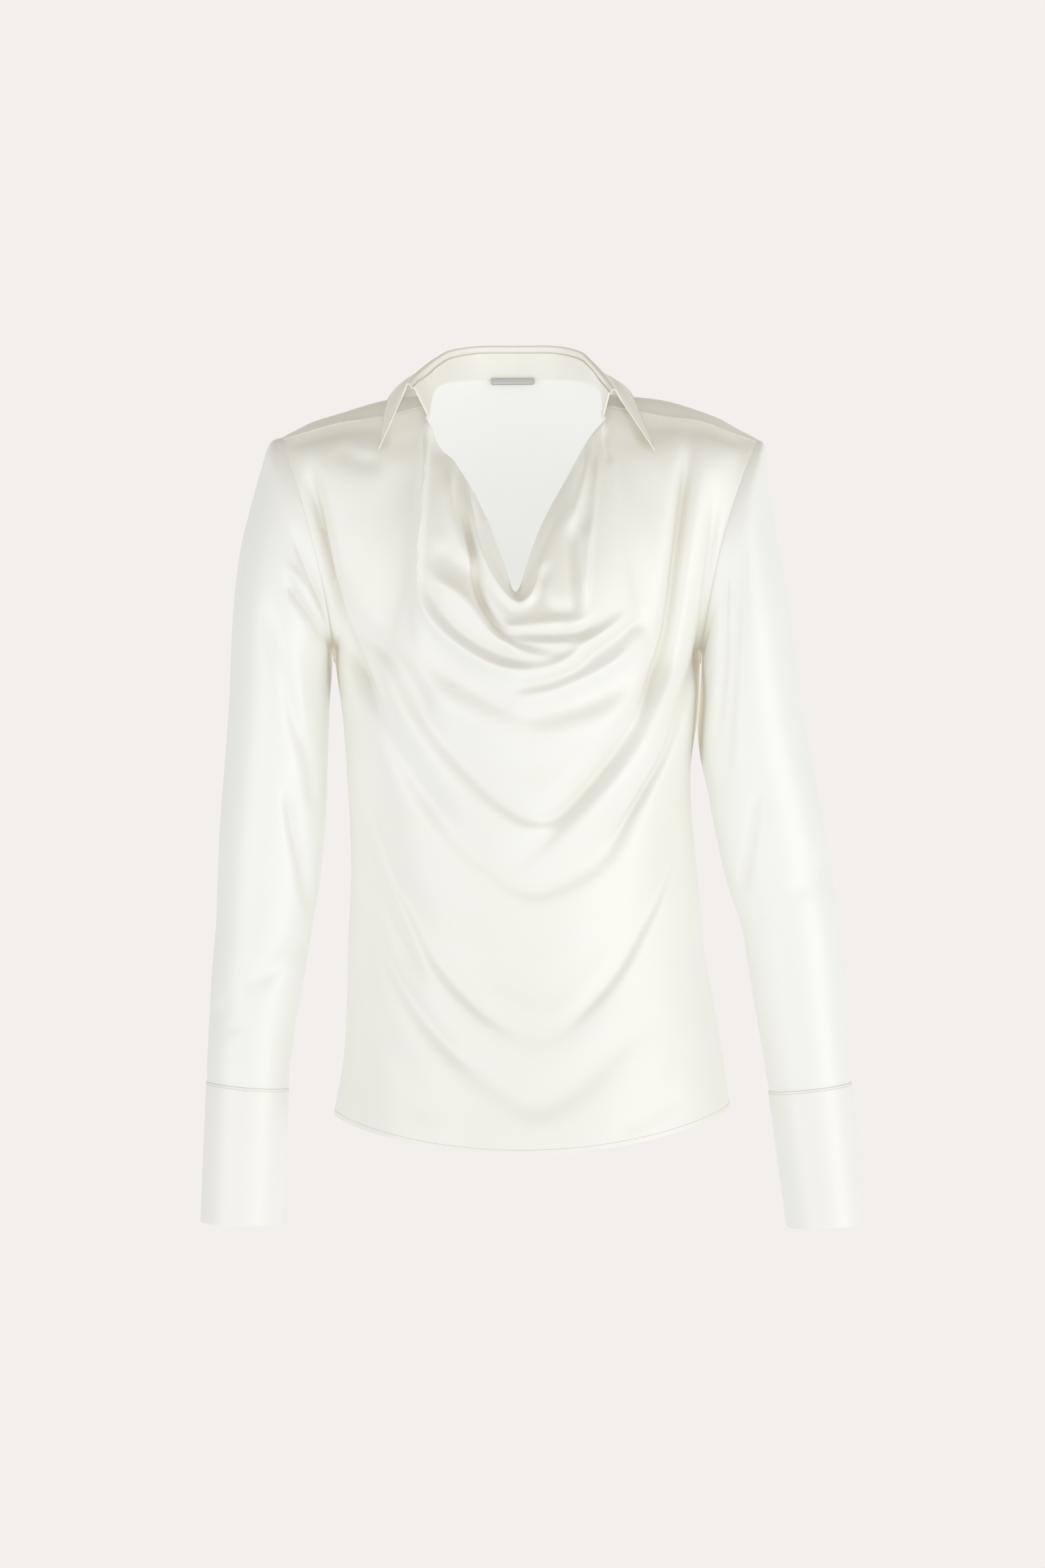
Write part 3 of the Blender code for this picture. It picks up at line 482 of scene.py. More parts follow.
def front_grid():
    low = lower_grid(True)
    lip = np.array([neckline_row(u, False) for u in COLUMNS])
    lip[0] = armhole_point(RIGHT, LIP_ANGLE)
    lip[-1] = armhole_point(LEFT, LIP_ANGLE)
    upper = patch(low[-1], lip, LIP_ANGLE, 1, FRONT_UPPER_ROWS, -CHEST_FULLNESS)
    grid = np.concatenate([low, upper])
    relax(grid, FRONT_RELAX)
    turned = np.array([[neckline_row(u, True) for u in COLUMNS]])
    return np.concatenate([grid, turned])


def back_grid():
    low = lower_grid(False)
    behind, over, ahead = BACK_ROWS
    upper = patch(low[-1], back_row(behind), behind.angle, -1, BACK_UPPER_ROWS, BLADE_FULLNESS)
    grid = np.concatenate([low, upper, [back_row(over), back_row(ahead), back_seam_row()]])
    relax(grid, BACK_RELAX)
    lift = curve(SHOULDER_LIFT_AT, SHOULDER_LIFT, np.abs(COLUMNS))
    for row, share in SHOULDER_LIFT_ROWS:
        grid[row, :, 2] += lift * share
    return grid


print("coarse grids:", front_grid().shape, back_grid().shape)

# %% [markdown]
# ## From coarse to fine
# A crease in satin is a few millimetres wide, so the grid has to be about that fine.
# The smooth curve through the coarse points gives the fine ones, first down the panel and
# then across it. Near a seam the lines stand closer, so that the cloth can roll into it. A
# subdivision modifier is just as smooth, but it can't put more lines at a seam alone.

# %% Refining and normals
EDGE_LINES = (0.03, 0.08, 0.16, 0.3, 0.5)


def spread(count, fine):
    """Places from 0 to count, evenly spaced, with extra ones close to both ends."""
    near = [share * count / fine * 2 for share in EDGE_LINES]
    inner = np.linspace(0, count, fine + 1)[2:-2]
    return np.array([0.0, *near, *inner, *[count - t for t in reversed(near)], count])


def refine(grid, down, across):
    """A fine grid: the smooth surface through a coarse one, at the given places."""
    tall = curve(np.arange(grid.shape[0]), grid, down)
    wide = curve(np.arange(grid.shape[1]), tall.swapaxes(0, 1), across)
    return wide.swapaxes(0, 1)


def unit(vectors):
    return vectors / np.maximum(np.linalg.norm(vectors, axis=-1, keepdims=True), 1e-9)


def normals_of(grid, closed, sign):
    """Unit normals of a grid, on the side that sign picks."""
    up = np.gradient(grid, axis=0)
    if closed:
        across = np.roll(grid, -1, axis=1) - np.roll(grid, 1, axis=1)
    else:
        across = np.gradient(grid, axis=1)
    return unit(np.cross(across, up) * sign)


def distance_along(grid, axis):
    """Distance of each point from the first row or column, along the cloth."""
    steps = np.linalg.norm(np.diff(grid, axis=axis), axis=-1)
    first = np.zeros_like(steps[:1]) if axis == 0 else np.zeros_like(steps[:, :1])
    return np.cumsum(np.concatenate([first, steps], axis=axis), axis=axis)


def from_far_end(distances, axis):
    """The same distances, measured back from the last row or column."""
    return distances.max(axis=axis, keepdims=True) - distances


print("rows for a panel:", len(spread(37, 200)))

# %% [markdown]
# ## Creases
# Each crease is a soft trough (height below zero) or ridge along a smooth line. Real
# drape is uneven: on the upper, tighter side of a swag the cloth drops off sharply, and
# on the lower side it comes back slowly. So each crease has a width for each side of its
# line, `inner` on the left of the way along it and `outer` on the right. Swags run from
# the wearer's right to the left, so their inner side looks up at the neck. Sculpting would
# do it too, but a crease in a table can be moved later by changing a number.

# %% Crease tools
Fold = namedtuple("Fold", "name height inner outer places")
FOLD_STEPS = 36
FOLD_TAPER = 0.24
FOLD_REACH = 2.6
FOLD_SOFTENING = 3.5


def fold_line(places):
    """Evenly spaced points along a smooth line through places."""
    places = np.array(places, float)
    knots = lengths_along(places)
    return curve(knots, places, np.linspace(0, knots[-1], FOLD_STEPS + 1))


def fold_height(fold, seen):
    """How far one crease pushes the cloth out, at places seen from the front."""
    line = fold_line(fold.places)
    reach = max(fold.inner, fold.outer) * FOLD_REACH
    low = line.min(axis=0) - reach
    high = line.max(axis=0) + reach
    inside = np.all((seen > low) & (seen < high), axis=-1)
    height = np.zeros(seen.shape[:-1])
    here = seen[inside]
    if not len(here):
        return height
    nearest = np.full(len(here), np.inf)
    share = np.zeros(len(here))
    side = np.zeros(len(here))
    for i in range(FOLD_STEPS):
        span = line[i + 1] - line[i]
        away = here - line[i]
        f = np.clip(away @ span / (span @ span), 0, 1)
        gap = np.linalg.norm(away - f[:, None] * span, axis=1)
        closer = gap < nearest
        nearest[closer] = gap[closer]
        share[closer] = ((i + f) / FOLD_STEPS)[closer]
        side[closer] = (span[0] * away[:, 1] - span[1] * away[:, 0])[closer]
    width = np.where(side > 0, fold.inner, fold.outer)
    taper = smooth_step(share / FOLD_TAPER) * smooth_step((1 - share) / FOLD_TAPER)
    height[inside] = fold.height * bell(nearest, width) * taper
    return height


def soften(height, passes):
    """Evens out heights on a grid, so that no kink is left along a crease."""
    for _ in range(passes):
        wide = np.pad(height, 1, mode="edge")
        beside = wide[:-2, 1:-1] + wide[2:, 1:-1] + wide[1:-1, :-2] + wide[1:-1, 2:]
        height = height / 2 + beside / 8
    return height


def crease(grid, normals, folds, fade):
    """Moves each point along its normal by the height of all creases there."""
    seen = as_seen(grid)
    total = np.zeros(grid.shape[:2])
    for width in sorted({min(fold.inner, fold.outer) for fold in folds}, reverse=True):
        alike = [fold for fold in folds if min(fold.inner, fold.outer) == width]
        passes = round((width / FOLD_SOFTENING) ** 2)
        total += soften(sum(fold_height(fold, seen) for fold in alike), passes)
    return grid + normals * (total * fade)[..., None]


print("a crease fades out over", FOLD_TAPER, "of its length at each end")

# %% [markdown]
# ## Folds of the cowl
# The cowl is cloth to spare, caught at the two neck points. It spills into a swirl of folds
# round the lip of the neckline, with pleats beside the collar. Such folds could come from a
# cloth simulation, but a simulation never gives a wanted crease in a wanted place. Lines of
# a few points do. They are read as a tailor would chalk them: (x, z) in millimetres.

# %% Folds of the cowl
COWL_FOLDS = [
    Fold("lip", 4.6, 3, 4, [
        (-49.3, -58.2), (-44.8, -71.7), (-40.9, -87.9), (-37.5, -112), (-32.5, -128.8),
        (-26.3, -142.8), (-18.5, -156.2), (-12.9, -163.5), (-5, -170.2), (1.7, -170.2), (8.4, -165.8),
        (11.8, -159), (14, -150.1), (15.7, -140), (21.8, -135), (32.5, -133.3),
    ]),
    Fold("swirl", -4.8, 5, 3, [
        (-51.5, -73.9), (-48.2, -89.6), (-43.7, -109.2), (-39.8, -134.4), (-35.8, -161.3),
        (-28.6, -178.1), (-17.9, -193.2), (-3.4, -203.3), (17.9, -209.4), (31.4, -211.1),
        (42.6, -212.8),
    ]),
    Fold("swirl_floor", -3.0, 10, 5, [
        (-41.4, -128.8), (-37, -156.8), (-29.7, -176.4), (-19, -191.5), (-4.5, -201.6),
    ]),
    Fold("crease_neck_right", 5.5, 3, 3, [
        (-78.4, -7.8), (-79, -22.4), (-79.5, -50.4), (-81.8, -86.8), (-84, -114.8), (-85.1, -140),
        (-84, -159.6), (-78.4, -176.4), (-66.1, -193.2),
    ]),
    Fold("beside_crease", -4.4, 9, 18, [
        (-94.1, -22.4), (-94.1, -56), (-96.3, -95.2), (-99.1, -134.4), (-99.5, -172),
        (-96, -206), (-90, -232),
    ]),
    Fold("below_neck_point", -4.0, 12, 10, [(-70, -22.4), (-66.1, -36.4), (-60.5, -50.4)]),
    Fold("ridge_neck", 4.0, 4, 7, [
        (-58.2, -50.4), (-59.4, -72.8), (-56, -98), (-48.2, -120.4), (-40.3, -140), (-37, -156.8),
    ]),
    Fold("pocket", -2.6, 10, 9, [(-71.7, -120.4), (-60.5, -135.5), (-45.9, -143.4), (-37, -150.1)]),
    Fold("swirl_ridge", 3.4, 5, 7, [
        (-78.4, -135.5), (-70.6, -149), (-56, -159), (-40.3, -172.5), (-28, -185.9), (-15.7, -198.2),
        (5.6, -208.3), (28, -215), (39.2, -217.3),
    ]),
    Fold("swirl_valley", -3.0, 7, 7, [
        (-77.8, -140), (-74.5, -165.2), (-60.5, -185.9), (-39.2, -202.7), (-14, -213.9), (14, -220.1),
    ]),
    Fold("outer_ridge", 4.4, 5, 7, [
        (-84.6, -148.4), (-82.9, -165.2), (-76.7, -179.2), (-64.4, -194.3), (-44.8, -210),
        (-22.4, -222.3), (5.6, -227.4), (25.8, -225.1), (38.6, -219), (43.7, -215), (56, -206.1),
        (75.6, -196), (100.8, -177),
    ]),
    Fold("inner_bright", 2.2, 4, 5, [
        (-22.4, -188.2), (-8.4, -190.4), (11.2, -188.2), (33.6, -185.4), (51, -185.4), (54.9, -178.1),
    ]),
    Fold("under_inner", -2.4, 5, 4, [
        (-17.9, -193.8), (5.6, -197.7), (32.5, -196.6), (56, -191.5), (70, -182),
    ]),
    Fold("swirl_upper_ridge", 2.4, 4, 4, [
        (-20.2, -187), (-13.4, -196), (-2.8, -200.5), (14, -203.3), (36.4, -205), (56, -202.2),
        (72.8, -192.1), (94.1, -175.8),
    ]),
    Fold("under_outer", -4.2, 5, 8, [(45.9, -217.3), (58.8, -210), (81.2, -198.8), (109.2, -178.1)]),
    Fold("curl_shadow", -3.4, 12, 5, [
        (50.4, -179.2), (36.4, -176.4), (23.5, -170.8), (18.5, -159.6), (19.6, -146.7), (28, -138.3),
    ]),
    Fold("left_inner_line", -4.0, 7, 2.5, [
        (53.8, -187), (50.4, -170.8), (48.2, -151.2), (46.5, -123.2), (45.4, -98),
    ]),
    Fold("left_inner_ridge", 4.0, 5, 3, [
        (51.5, -184.8), (54.9, -156.8), (57.1, -128.8), (59.9, -95.2), (63.8, -56), (65.5, -33.6),
    ]),
    Fold("left_neck_line", -4.2, 5, 3, [(56, -117.6), (59.4, -89.6), (62.2, -61.6), (62.7, -33.6)]),
    Fold("left_neck_side", 3.0, 5, 4, [(40.3, -112), (49.3, -84), (56, -58.8), (60.5, -34.7)]),
    Fold("left_pleat", -2.8, 2.5, 3, [(76.7, -53.8), (73.4, -38.1), (72.2, -21.3)]),
    Fold("broad_1", -6.5, 22, 12, [
        (-100.8, -184.8), (-86.8, -204.4), (-70, -224), (-44.8, -240.8), (-16.8, -254.8),
        (11.2, -264.3), (39.2, -258.7), (67.2, -249.2), (92.4, -232.4), (114.8, -204.4),
    ]),
    Fold("central_ridge", 4.0, 5, 7, [
        (-14, -252), (5.6, -249.8), (28, -245.3), (50.4, -236.3), (75.6, -222.9), (99.7, -202.7),
    ]),
    Fold("central_hollow", -2.6, 6, 7, [
        (-23.5, -240.8), (0, -239.7), (22.4, -234.1), (58.8, -219.5), (89.6, -196),
    ]),
]
print("folds of the cowl:", len(COWL_FOLDS))

# %% [markdown]
# ## Folds from the armholes and shoulders
# The sleeves pull the front up at its corners, so strong folds run down from both armholes
# and fade into the swags. A long fold would keep its depth all the way, and so each one is
# laid as a deep upper part and a shallow lower part. A wide, low ridge below each shoulder
# seam stands for the pad under it.

# %% Folds from the armholes and shoulders
ARMHOLE_FOLDS = [
    Fold("armhole_left_a", -11.0, 8, 5, [
        (98, -276), (112, -249.2), (123, -217), (130, -179.2), (134.6, -134.4), (139, -90),
        (142.2, -49.3), (144, -14),
    ]),
    Fold("armhole_left_a_low", -5.0, 13, 6, [
        (-14, -398), (14, -378), (39, -353), (66, -322), (90, -288), (110, -253), (122, -222),
        (129, -190),
    ]),
    Fold("armhole_left_b", -6.0, 6, 3, [
        (66.1, -393.1), (75.6, -380.8), (95.2, -350), (112, -322), (124.9, -296.8), (140, -252),
        (151.2, -218.4), (155.1, -201.6), (159, -168), (162.4, -140), (164.6, -100.8), (165.2, -61.6),
    ]),
    Fold("armhole_right", -10.5, 8, 6, [
        (-176, -40), (-174.2, -84), (-170, -118), (-164, -150), (-153, -190), (-141, -222),
        (-128, -250), (-112, -281),
    ]),
    Fold("armhole_right_low", -3.5, 14, 8, [
        (-154, -186), (-142, -220), (-128, -250), (-113, -279), (-95, -310), (-72, -342), (-48, -368),
    ]),
    Fold("armhole_right_corner", -3.0, 8, 7, [
        (-146, -178), (-130, -196), (-115, -209), (-101, -224), (-88, -243), (-74, -268),
    ]),
    Fold("shoulder_dent_right", -2.6, 6, 9, [(-154, -40), (-142, -48), (-128, -53), (-112, -50)]),
]
SHOULDER_FOLDS = [
    Fold("shoulder_front_right", 6.0, 14, 33, [(-192, -56), (-160, -46), (-125, -46), (-90, -60)]),
    Fold("shoulder_front_left", 5.5, 13, 32, [(84, -54), (120, -42), (155, -42), (190, -54)]),
]
print("folds from the armholes and shoulders:", len(ARMHOLE_FOLDS + SHOULDER_FOLDS))

# %% [markdown]
# ## Swags
# Below the cowl the front hangs in swags, each a wide U from one side to the other. They
# are sharp where they hang steeply, soft at the bottom, and get shallower towards the hem,
# so most are made of a right, a left and a bottom line. One curve with one width would give
# every swag the same hard edge.

# %% Swags of the front
SWAGS = [
    Fold("swag_1", -6.0, 16, 6, [
        (-128, -188), (-105.3, -226.8), (-78.4, -274.4), (-44.8, -313.6), (-12, -342), (10, -353),
        (30, -352), (50, -337), (75.6, -310.8), (103.6, -271.6), (122.1, -226.8),
    ]),
    Fold("swag_1_low", -1.5, 13, 9, [
        (-25, -365), (0, -386), (28, -395), (56, -384), (78, -364), (102, -329),
    ]),
    Fold("swag_2", -3.4, 17, 7, [
        (-115, -272), (-98, -307), (-67, -354), (-34, -386), (11, -413), (45, -403), (70, -386),
        (101, -342), (132, -286),
    ]),
    Fold("swag_1_hollow", -2.8, 10, 26, [
        (-66, -258), (-40, -288), (-12, -305), (16, -309), (42, -299), (70, -272),
    ]),
    Fold("swag_3_right", -3.8, 14, 4, [
        (-140, -283), (-129, -330), (-120, -364), (-109, -398), (-92, -431), (-73, -470), (-48, -501),
        (-20, -524), (8, -537),
    ]),
    Fold("swag_3_left", -3.2, 14, 4, [
        (26, -539), (46, -522), (66, -502), (84, -479), (98, -454), (118, -414), (129, -381),
        (140, -330), (146, -294),
    ]),
    Fold("swag_3_bottom", -1.6, 20, 12, [
        (-82, -458), (-50, -498), (-18, -524), (14, -534), (42, -526), (68, -502), (90, -470),
    ]),
    Fold("swag_4_right", -2.2, 8, 5, [
        (-136, -396), (-125, -438), (-111, -472), (-95, -501), (-74, -530), (-52, -553), (-26, -573),
    ]),
    Fold("swag_3_middle", -1.6, 19, 10, [
        (-102, -384), (-84, -420), (-62, -454), (-34, -479), (0, -496), (28, -501), (56, -476),
        (78, -448), (101, -414), (116, -384),
    ]),
    Fold("swag_4", -2.6, 22, 10, [
        (-138, -384), (-126, -437), (-112, -473), (-95, -504), (-73, -532), (-50, -554), (-17, -577),
        (11, -594), (45, -580), (73, -554), (95, -532), (125, -500),
    ]),
    Fold("side_drag_right", -4.2, 9, 7, [
        (-141, -334), (-135, -362), (-125, -395), (-114, -426), (-102, -455), (-88, -480), (-74, -500),
    ]),
    Fold("hem_right", -1.8, 15, 9, [(-128, -507), (-112, -540), (-98, -566), (-84, -594), (-65, -615)]),
    Fold("hem_left_small", -1.2, 10, 8, [(126, -578), (134, -560), (143, -539)]),
    Fold("hem_left", -1.6, 14, 9, [(76, -612), (101, -605), (123, -591), (141, -578)]),
]
FRONT_FOLDS = COWL_FOLDS + ARMHOLE_FOLDS + SWAGS + SHOULDER_FOLDS
print("creases on the front:", len(FRONT_FOLDS))

# %% [markdown]
# ## Creases of the back
# The back is cut plain, so only the drags between the shoulder blades, the folds where it
# meets the waist and the long soft waves above the hem are on it. They are laid in by the
# same means as in front.

# %% Creases of the back
BACK_FOLDS = [
    Fold("blade_right", -4.0, 9, 15, [(-150, -120), (-128, -190), (-112, -270), (-118, -350)]),
    Fold("blade_left", -4.0, 14, 9, [(152, -118), (130, -200), (116, -285), (124, -360)]),
    Fold("centre_drag", -2.5, 10, 14, [(-60, -60), (-20, -88), (26, -90), (64, -58)]),
    Fold("second_drag", -2.0, 9, 16, [(-92, -86), (-44, -132), (34, -138), (88, -92)]),
    Fold("waist_right", -3.5, 9, 14, [(-140, -372), (-98, -392), (-52, -398), (-16, -388)]),
    Fold("waist_left", -3.5, 9, 14, [(22, -408), (60, -402), (104, -384), (142, -356)]),
    Fold("waist_low", -2.2, 8, 13, [(-108, -428), (-66, -442), (-20, -446), (30, -438)]),
    Fold("long_right", 4.0, 16, 17, [(-60, -250), (-54, -350), (-66, -470), (-60, -580)]),
    Fold("long_left", 4.0, 17, 15, [(46, -230), (58, -340), (52, -460), (64, -590)]),
    Fold("long_centre", -3.0, 13, 16, [(-4, -300), (4, -400), (-6, -500), (2, -600)]),
    Fold("hem_back_right", -3.0, 10, 14, [(-118, -430), (-112, -500), (-122, -560), (-116, -600)]),
    Fold("hem_back_left", -3.0, 14, 10, [(120, -440), (112, -510), (126, -560), (120, -600)]),
]
print("creases on the back:", len(BACK_FOLDS))

# %% [markdown]
# ## A shell of cloth
# Charmeuse is about 0.2 mm thick, and its edges, turned in and stitched, are three or four
# times that, so the shell is 0.9 mm all over. A solidify modifier could give the thickness.
# Building the inner face from the same grid keeps the edges exact where two pieces are sewn
# together, and lets the shell carry a map of the cloth's own size, which the weave follows.

# %% Shell builder
CLOTH = 0.9
SHARP_EDGE = 55


def shell_faces(rows, count, closed):
    """Quads of the outer face, the inner face behind it, and the edges that join them."""
    shift = rows * count
    i, j = np.meshgrid(np.arange(rows - 1), np.arange(count if closed else count - 1), indexing="ij")
    k = (j + 1) % count
    quads = np.stack([i * count + j, i * count + k, (i + 1) * count + k, (i + 1) * count + j], -1)
    quads = quads.reshape(-1, 4)
    j = j[0]
    k = k[0]
    bottom = np.stack([k, j, j + shift, k + shift], -1)
    top = np.stack([j, k, k + shift, j + shift], -1) + (rows - 1) * count
    faces = [quads, quads[:, ::-1] + shift, bottom, top]
    if not closed:
        i = np.arange(rows - 1) * count
        faces.append(np.stack([i, i + count, i + count + shift, i + shift], -1))
        faces.append(np.stack([i + count, i, i + shift, i + count + shift], -1) + count - 1)
    return faces


def map_cloth(mesh, outer):
    """A map of the cloth in its own metres: across from its middle, and down from its start."""
    across = distance_along(outer, 1)
    middle = outer.shape[1] // 2
    across -= across[:, middle : middle + 1]
    places = np.stack([across, distance_along(outer, 0)], -1).reshape(-1, 2) * MM
    places = np.concatenate([places, places])
    corners = np.empty(len(mesh.loops), int)
    mesh.loops.foreach_get("vertex_index", corners)
    layer = mesh.uv_layers.new(name="cloth")
    layer.data.foreach_set("uv", places[corners].astype(np.float32).ravel())


def add_piece(name, mesh):
    """An object in the scene that shows a mesh."""
    piece = bpy.data.objects.new(name, mesh)
    bpy.context.scene.collection.objects.link(piece)
    print(name, "faces:", len(mesh.polygons))
    return piece


def add_shell(name, outer, inner, closed, finish, reverse=None):
    """A closed shell between two grids. Its inner face may have a finish of its own."""
    faces = shell_faces(*outer.shape[:2], closed)
    points = np.concatenate([outer.reshape(-1, 3), inner.reshape(-1, 3)]) * MM
    mesh = bpy.data.meshes.new(name)
    mesh.from_pydata(points.tolist(), [], np.concatenate(faces).tolist())
    mesh.materials.append(finish)
    if reverse:
        mesh.materials.append(reverse)
        turned = np.zeros(len(mesh.polygons), int)
        turned[len(faces[0]) : 2 * len(faces[0])] = 1
        mesh.polygons.foreach_set("material_index", turned)
    map_cloth(mesh, outer)
    mesh.validate()
    mesh.shade_smooth()
    mesh.set_sharp_from_angle(angle=math.radians(SHARP_EDGE))
    return add_piece(name, mesh)


def cloth_area(grid):
    """Area of a grid's surface in square metres."""
    sides = np.cross(grid[1:, 1:] - grid[:-1, :-1], grid[1:, :-1] - grid[:-1, 1:])
    return float(np.linalg.norm(sides, axis=-1).sum() / 2 * MM * MM)


print("cloth thickness (mm):", CLOTH)

# %% [markdown]
# ## Materials as nodes
# Every finish here is a small tree of shader nodes. One function adds a node with its
# settings and links, and one turns an sRGB hex colour, as a colour picker shows it, into
# the linear values that a renderer works with.

# %% Node helper and colours
# Most of what a noise node gives lies between these two values.
NOISE_LOW = 0.3
NOISE_HIGH = 0.7


def linear(hex_colour):
    """An sRGB hex colour as linear RGBA."""
    parts = [int(hex_colour[i : i + 2], 16) / 255 for i in (1, 3, 5)]
    values = [c / 12.92 if c <= 0.04045 else ((c + 0.055) / 1.055) ** 2.4 for c in parts]
    return (*values, 1.0)


def add_node(tree, kind, inputs, **settings):
    """Adds a shader node with its settings, and inputs that are values or other sockets."""
    node = tree.nodes.new("ShaderNode" + kind)
    for name, value in settings.items():
        setattr(node, name, value)
    for key, value in inputs.items():
        if isinstance(value, bpy.types.NodeSocket):
            tree.links.new(value, node.inputs[key])
        else:
            node.inputs[key].default_value = value
    return node


def new_material(name):
    made = bpy.data.materials.new(name)
    made.use_nodes = True
    made.node_tree.nodes.clear()
    return made, made.node_tree


print("ivory as linear values:", [round(value, 3) for value in linear("#F5F6F1")])

# %% [markdown]
# ## Silk satin
# This is silk charmeuse, a satin weave: long floats of thread lie side by side on its face
# and catch the light along their length, which gives a soft, slightly streaked gloss. Silk
# is no metal, but its gloss is fuller than that of plastic, so a little metallic is mixed
# in. The threads stand about 0.05 mm apart, too fine to show, so the floats are drawn
# 0.7 mm apart and their uneven places 4 mm long, coarser than the real ones, and only as a
# faint bump and a faint change of gloss. The ivory is undyed, a little warmer where the
# slow noise thickens. Hollows get painted shade: the colour turns a darker warm cream where
# ambient occlusion finds a fold. The cloth also gets a painted glow, stronger in hollows,
# which stands in for light that thin silk lets through.

# %% Silk satin material
FLOAT_SPACING = 0.7 * MM
SLUB_LENGTH = 4 * MM
FLOAT_RELIEF = 0.6 * MM
CLOUD_SIZE = 60 * MM
SATIN_ROUGHNESS = (0.36, 0.44)
HOLLOW_REACH = 11 * MM
PAINTED_SHADE_AO_SPAN = (0.4, 0.97)
# Painted shade: a darker warm cream in hollows, set by ambient occlusion.
PAINTED_GLOW_AO_SPAN = (0.05, 0.45)
PAINTED_SHADE_COLOUR = "#CCC5B1"
# Painted light: an even glow over the cloth, stronger in hollows.
PAINTED_GLOW_IN_HOLLOWS = 0.32
PAINTED_GLOW_ON_CLOTH = 0.10
PAINTED_GLOW_COLOUR = "#F4F3EF"


def silk_satin(name, light, dark):
    made, tree = new_material(name)
    cloth = add_node(tree, "UVMap", {}, uv_map="cloth")
    scale = (1 / FLOAT_SPACING, 1 / SLUB_LENGTH, 1)
    drawn = add_node(tree, "VectorMath", {0: cloth.outputs[0], 1: scale}, operation="MULTIPLY")
    weave = {"Vector": drawn.outputs[0], "Scale": 1.0, "Detail": 3.0, "Roughness": 0.6}
    floats = add_node(tree, "TexNoise", weave, noise_dimensions="2D")
    space = add_node(tree, "TexCoord", {})
    slow = {"Vector": space.outputs["Object"], "Scale": 1 / CLOUD_SIZE, "Detail": 2.0}
    clouds = add_node(tree, "TexNoise", slow)
    tints = {0: clouds.outputs[0], 6: linear(dark), 7: linear(light)}
    ivory = add_node(tree, "Mix", tints, data_type="RGBA")
    open_air = add_node(tree, "AmbientOcclusion", {"Distance": HOLLOW_REACH}, samples=8)
    shut, free = PAINTED_SHADE_AO_SPAN
    shade = add_node(tree, "MapRange", {0: open_air.outputs["AO"], 1: shut, 2: free})
    # Painted shade: the base colour darkens to a warm cream where ambient occlusion finds a hollow.
    tints = {0: shade.outputs[0], 6: linear(PAINTED_SHADE_COLOUR), 7: ivory.outputs[2]}
    painted_shade = add_node(tree, "Mix", tints, data_type="RGBA")
    smooth, rough = SATIN_ROUGHNESS
    span = {1: NOISE_LOW, 2: NOISE_HIGH, 3: smooth, 4: rough}
    gloss = add_node(tree, "MapRange", {0: floats.outputs[0], **span})
    # Painted light: an emission glow, faint on open cloth and stronger where ambient occlusion finds a
    # hollow.
    shut, free = PAINTED_GLOW_AO_SPAN
    depth = add_node(tree, "MapRange", {0: open_air.outputs["AO"], 1: shut, 2: free})
    painted_glow_open_cloth = [c * PAINTED_GLOW_ON_CLOTH / PAINTED_GLOW_IN_HOLLOWS for c in linear(PAINTED_GLOW_COLOUR)]
    painted_glow_mix_inputs = {0: depth.outputs[0], 6: linear(PAINTED_GLOW_COLOUR), 7: painted_glow_open_cloth}
    painted_glow = add_node(tree, "Mix", painted_glow_mix_inputs, data_type="RGBA")
    thread = {"Height": floats.outputs[0], "Strength": 0.10, "Distance": FLOAT_RELIEF}
    relief = add_node(tree, "Bump", thread)
    surface = {
        "Base Color": painted_shade.outputs[2],
        "Roughness": gloss.outputs[0],
        "Normal": relief.outputs[0],
        "Metallic": 0.16,
        "IOR": 1.5,
        "Specular IOR Level": 0.6,
        "Sheen Weight": 0.05,
        "Sheen Roughness": 0.35,
        # Painted light: the glow is emitted here.
        "Emission Color": painted_glow.outputs[2],
        "Emission Strength": PAINTED_GLOW_IN_HOLLOWS,
    }
    satin = add_node(tree, "BsdfPrincipled", surface)
    add_node(tree, "OutputMaterial", {"Surface": satin.outputs[0]})
    return made


FRONT_SATIN = silk_satin("silk satin front", "#F5F6F1", "#F2F2EB")
BACK_SATIN = silk_satin("silk satin back", "#F5F6F1", "#F2F2EB")
SLEEVE_SATIN = silk_satin("silk satin sleeves", "#F6F7F4", "#F3F4EF")
CUFF_SATIN = silk_satin("silk satin cuffs", "#F6F6F2", "#F3F3ED")
COLLAR_SATIN = silk_satin("silk satin collar", "#F5F4EE", "#F1F0E7")
print("satins made:", len([m for m in bpy.data.materials if "satin" in m.name]))

# %% [markdown]
# ## The reverse of the satin
# On the inside of the blouse the wrong side of the weave shows: short crossings of thread
# like a crepe, dull and even. Its grain, about 0.1 mm on real silk, is drawn 1.2 mm wide so
# that it shows at all. The reverse gets a faint painted glow, painted light for what thin silk
# lets through. A translucent shader could let that light in, but would need many more samples.

# %% Silk reverse material
CREPE_GRAIN = 1.2 * MM
# Painted light: a faint glow on the inside of the cloth.
PAINTED_GLOW_INSIDE = 0.19


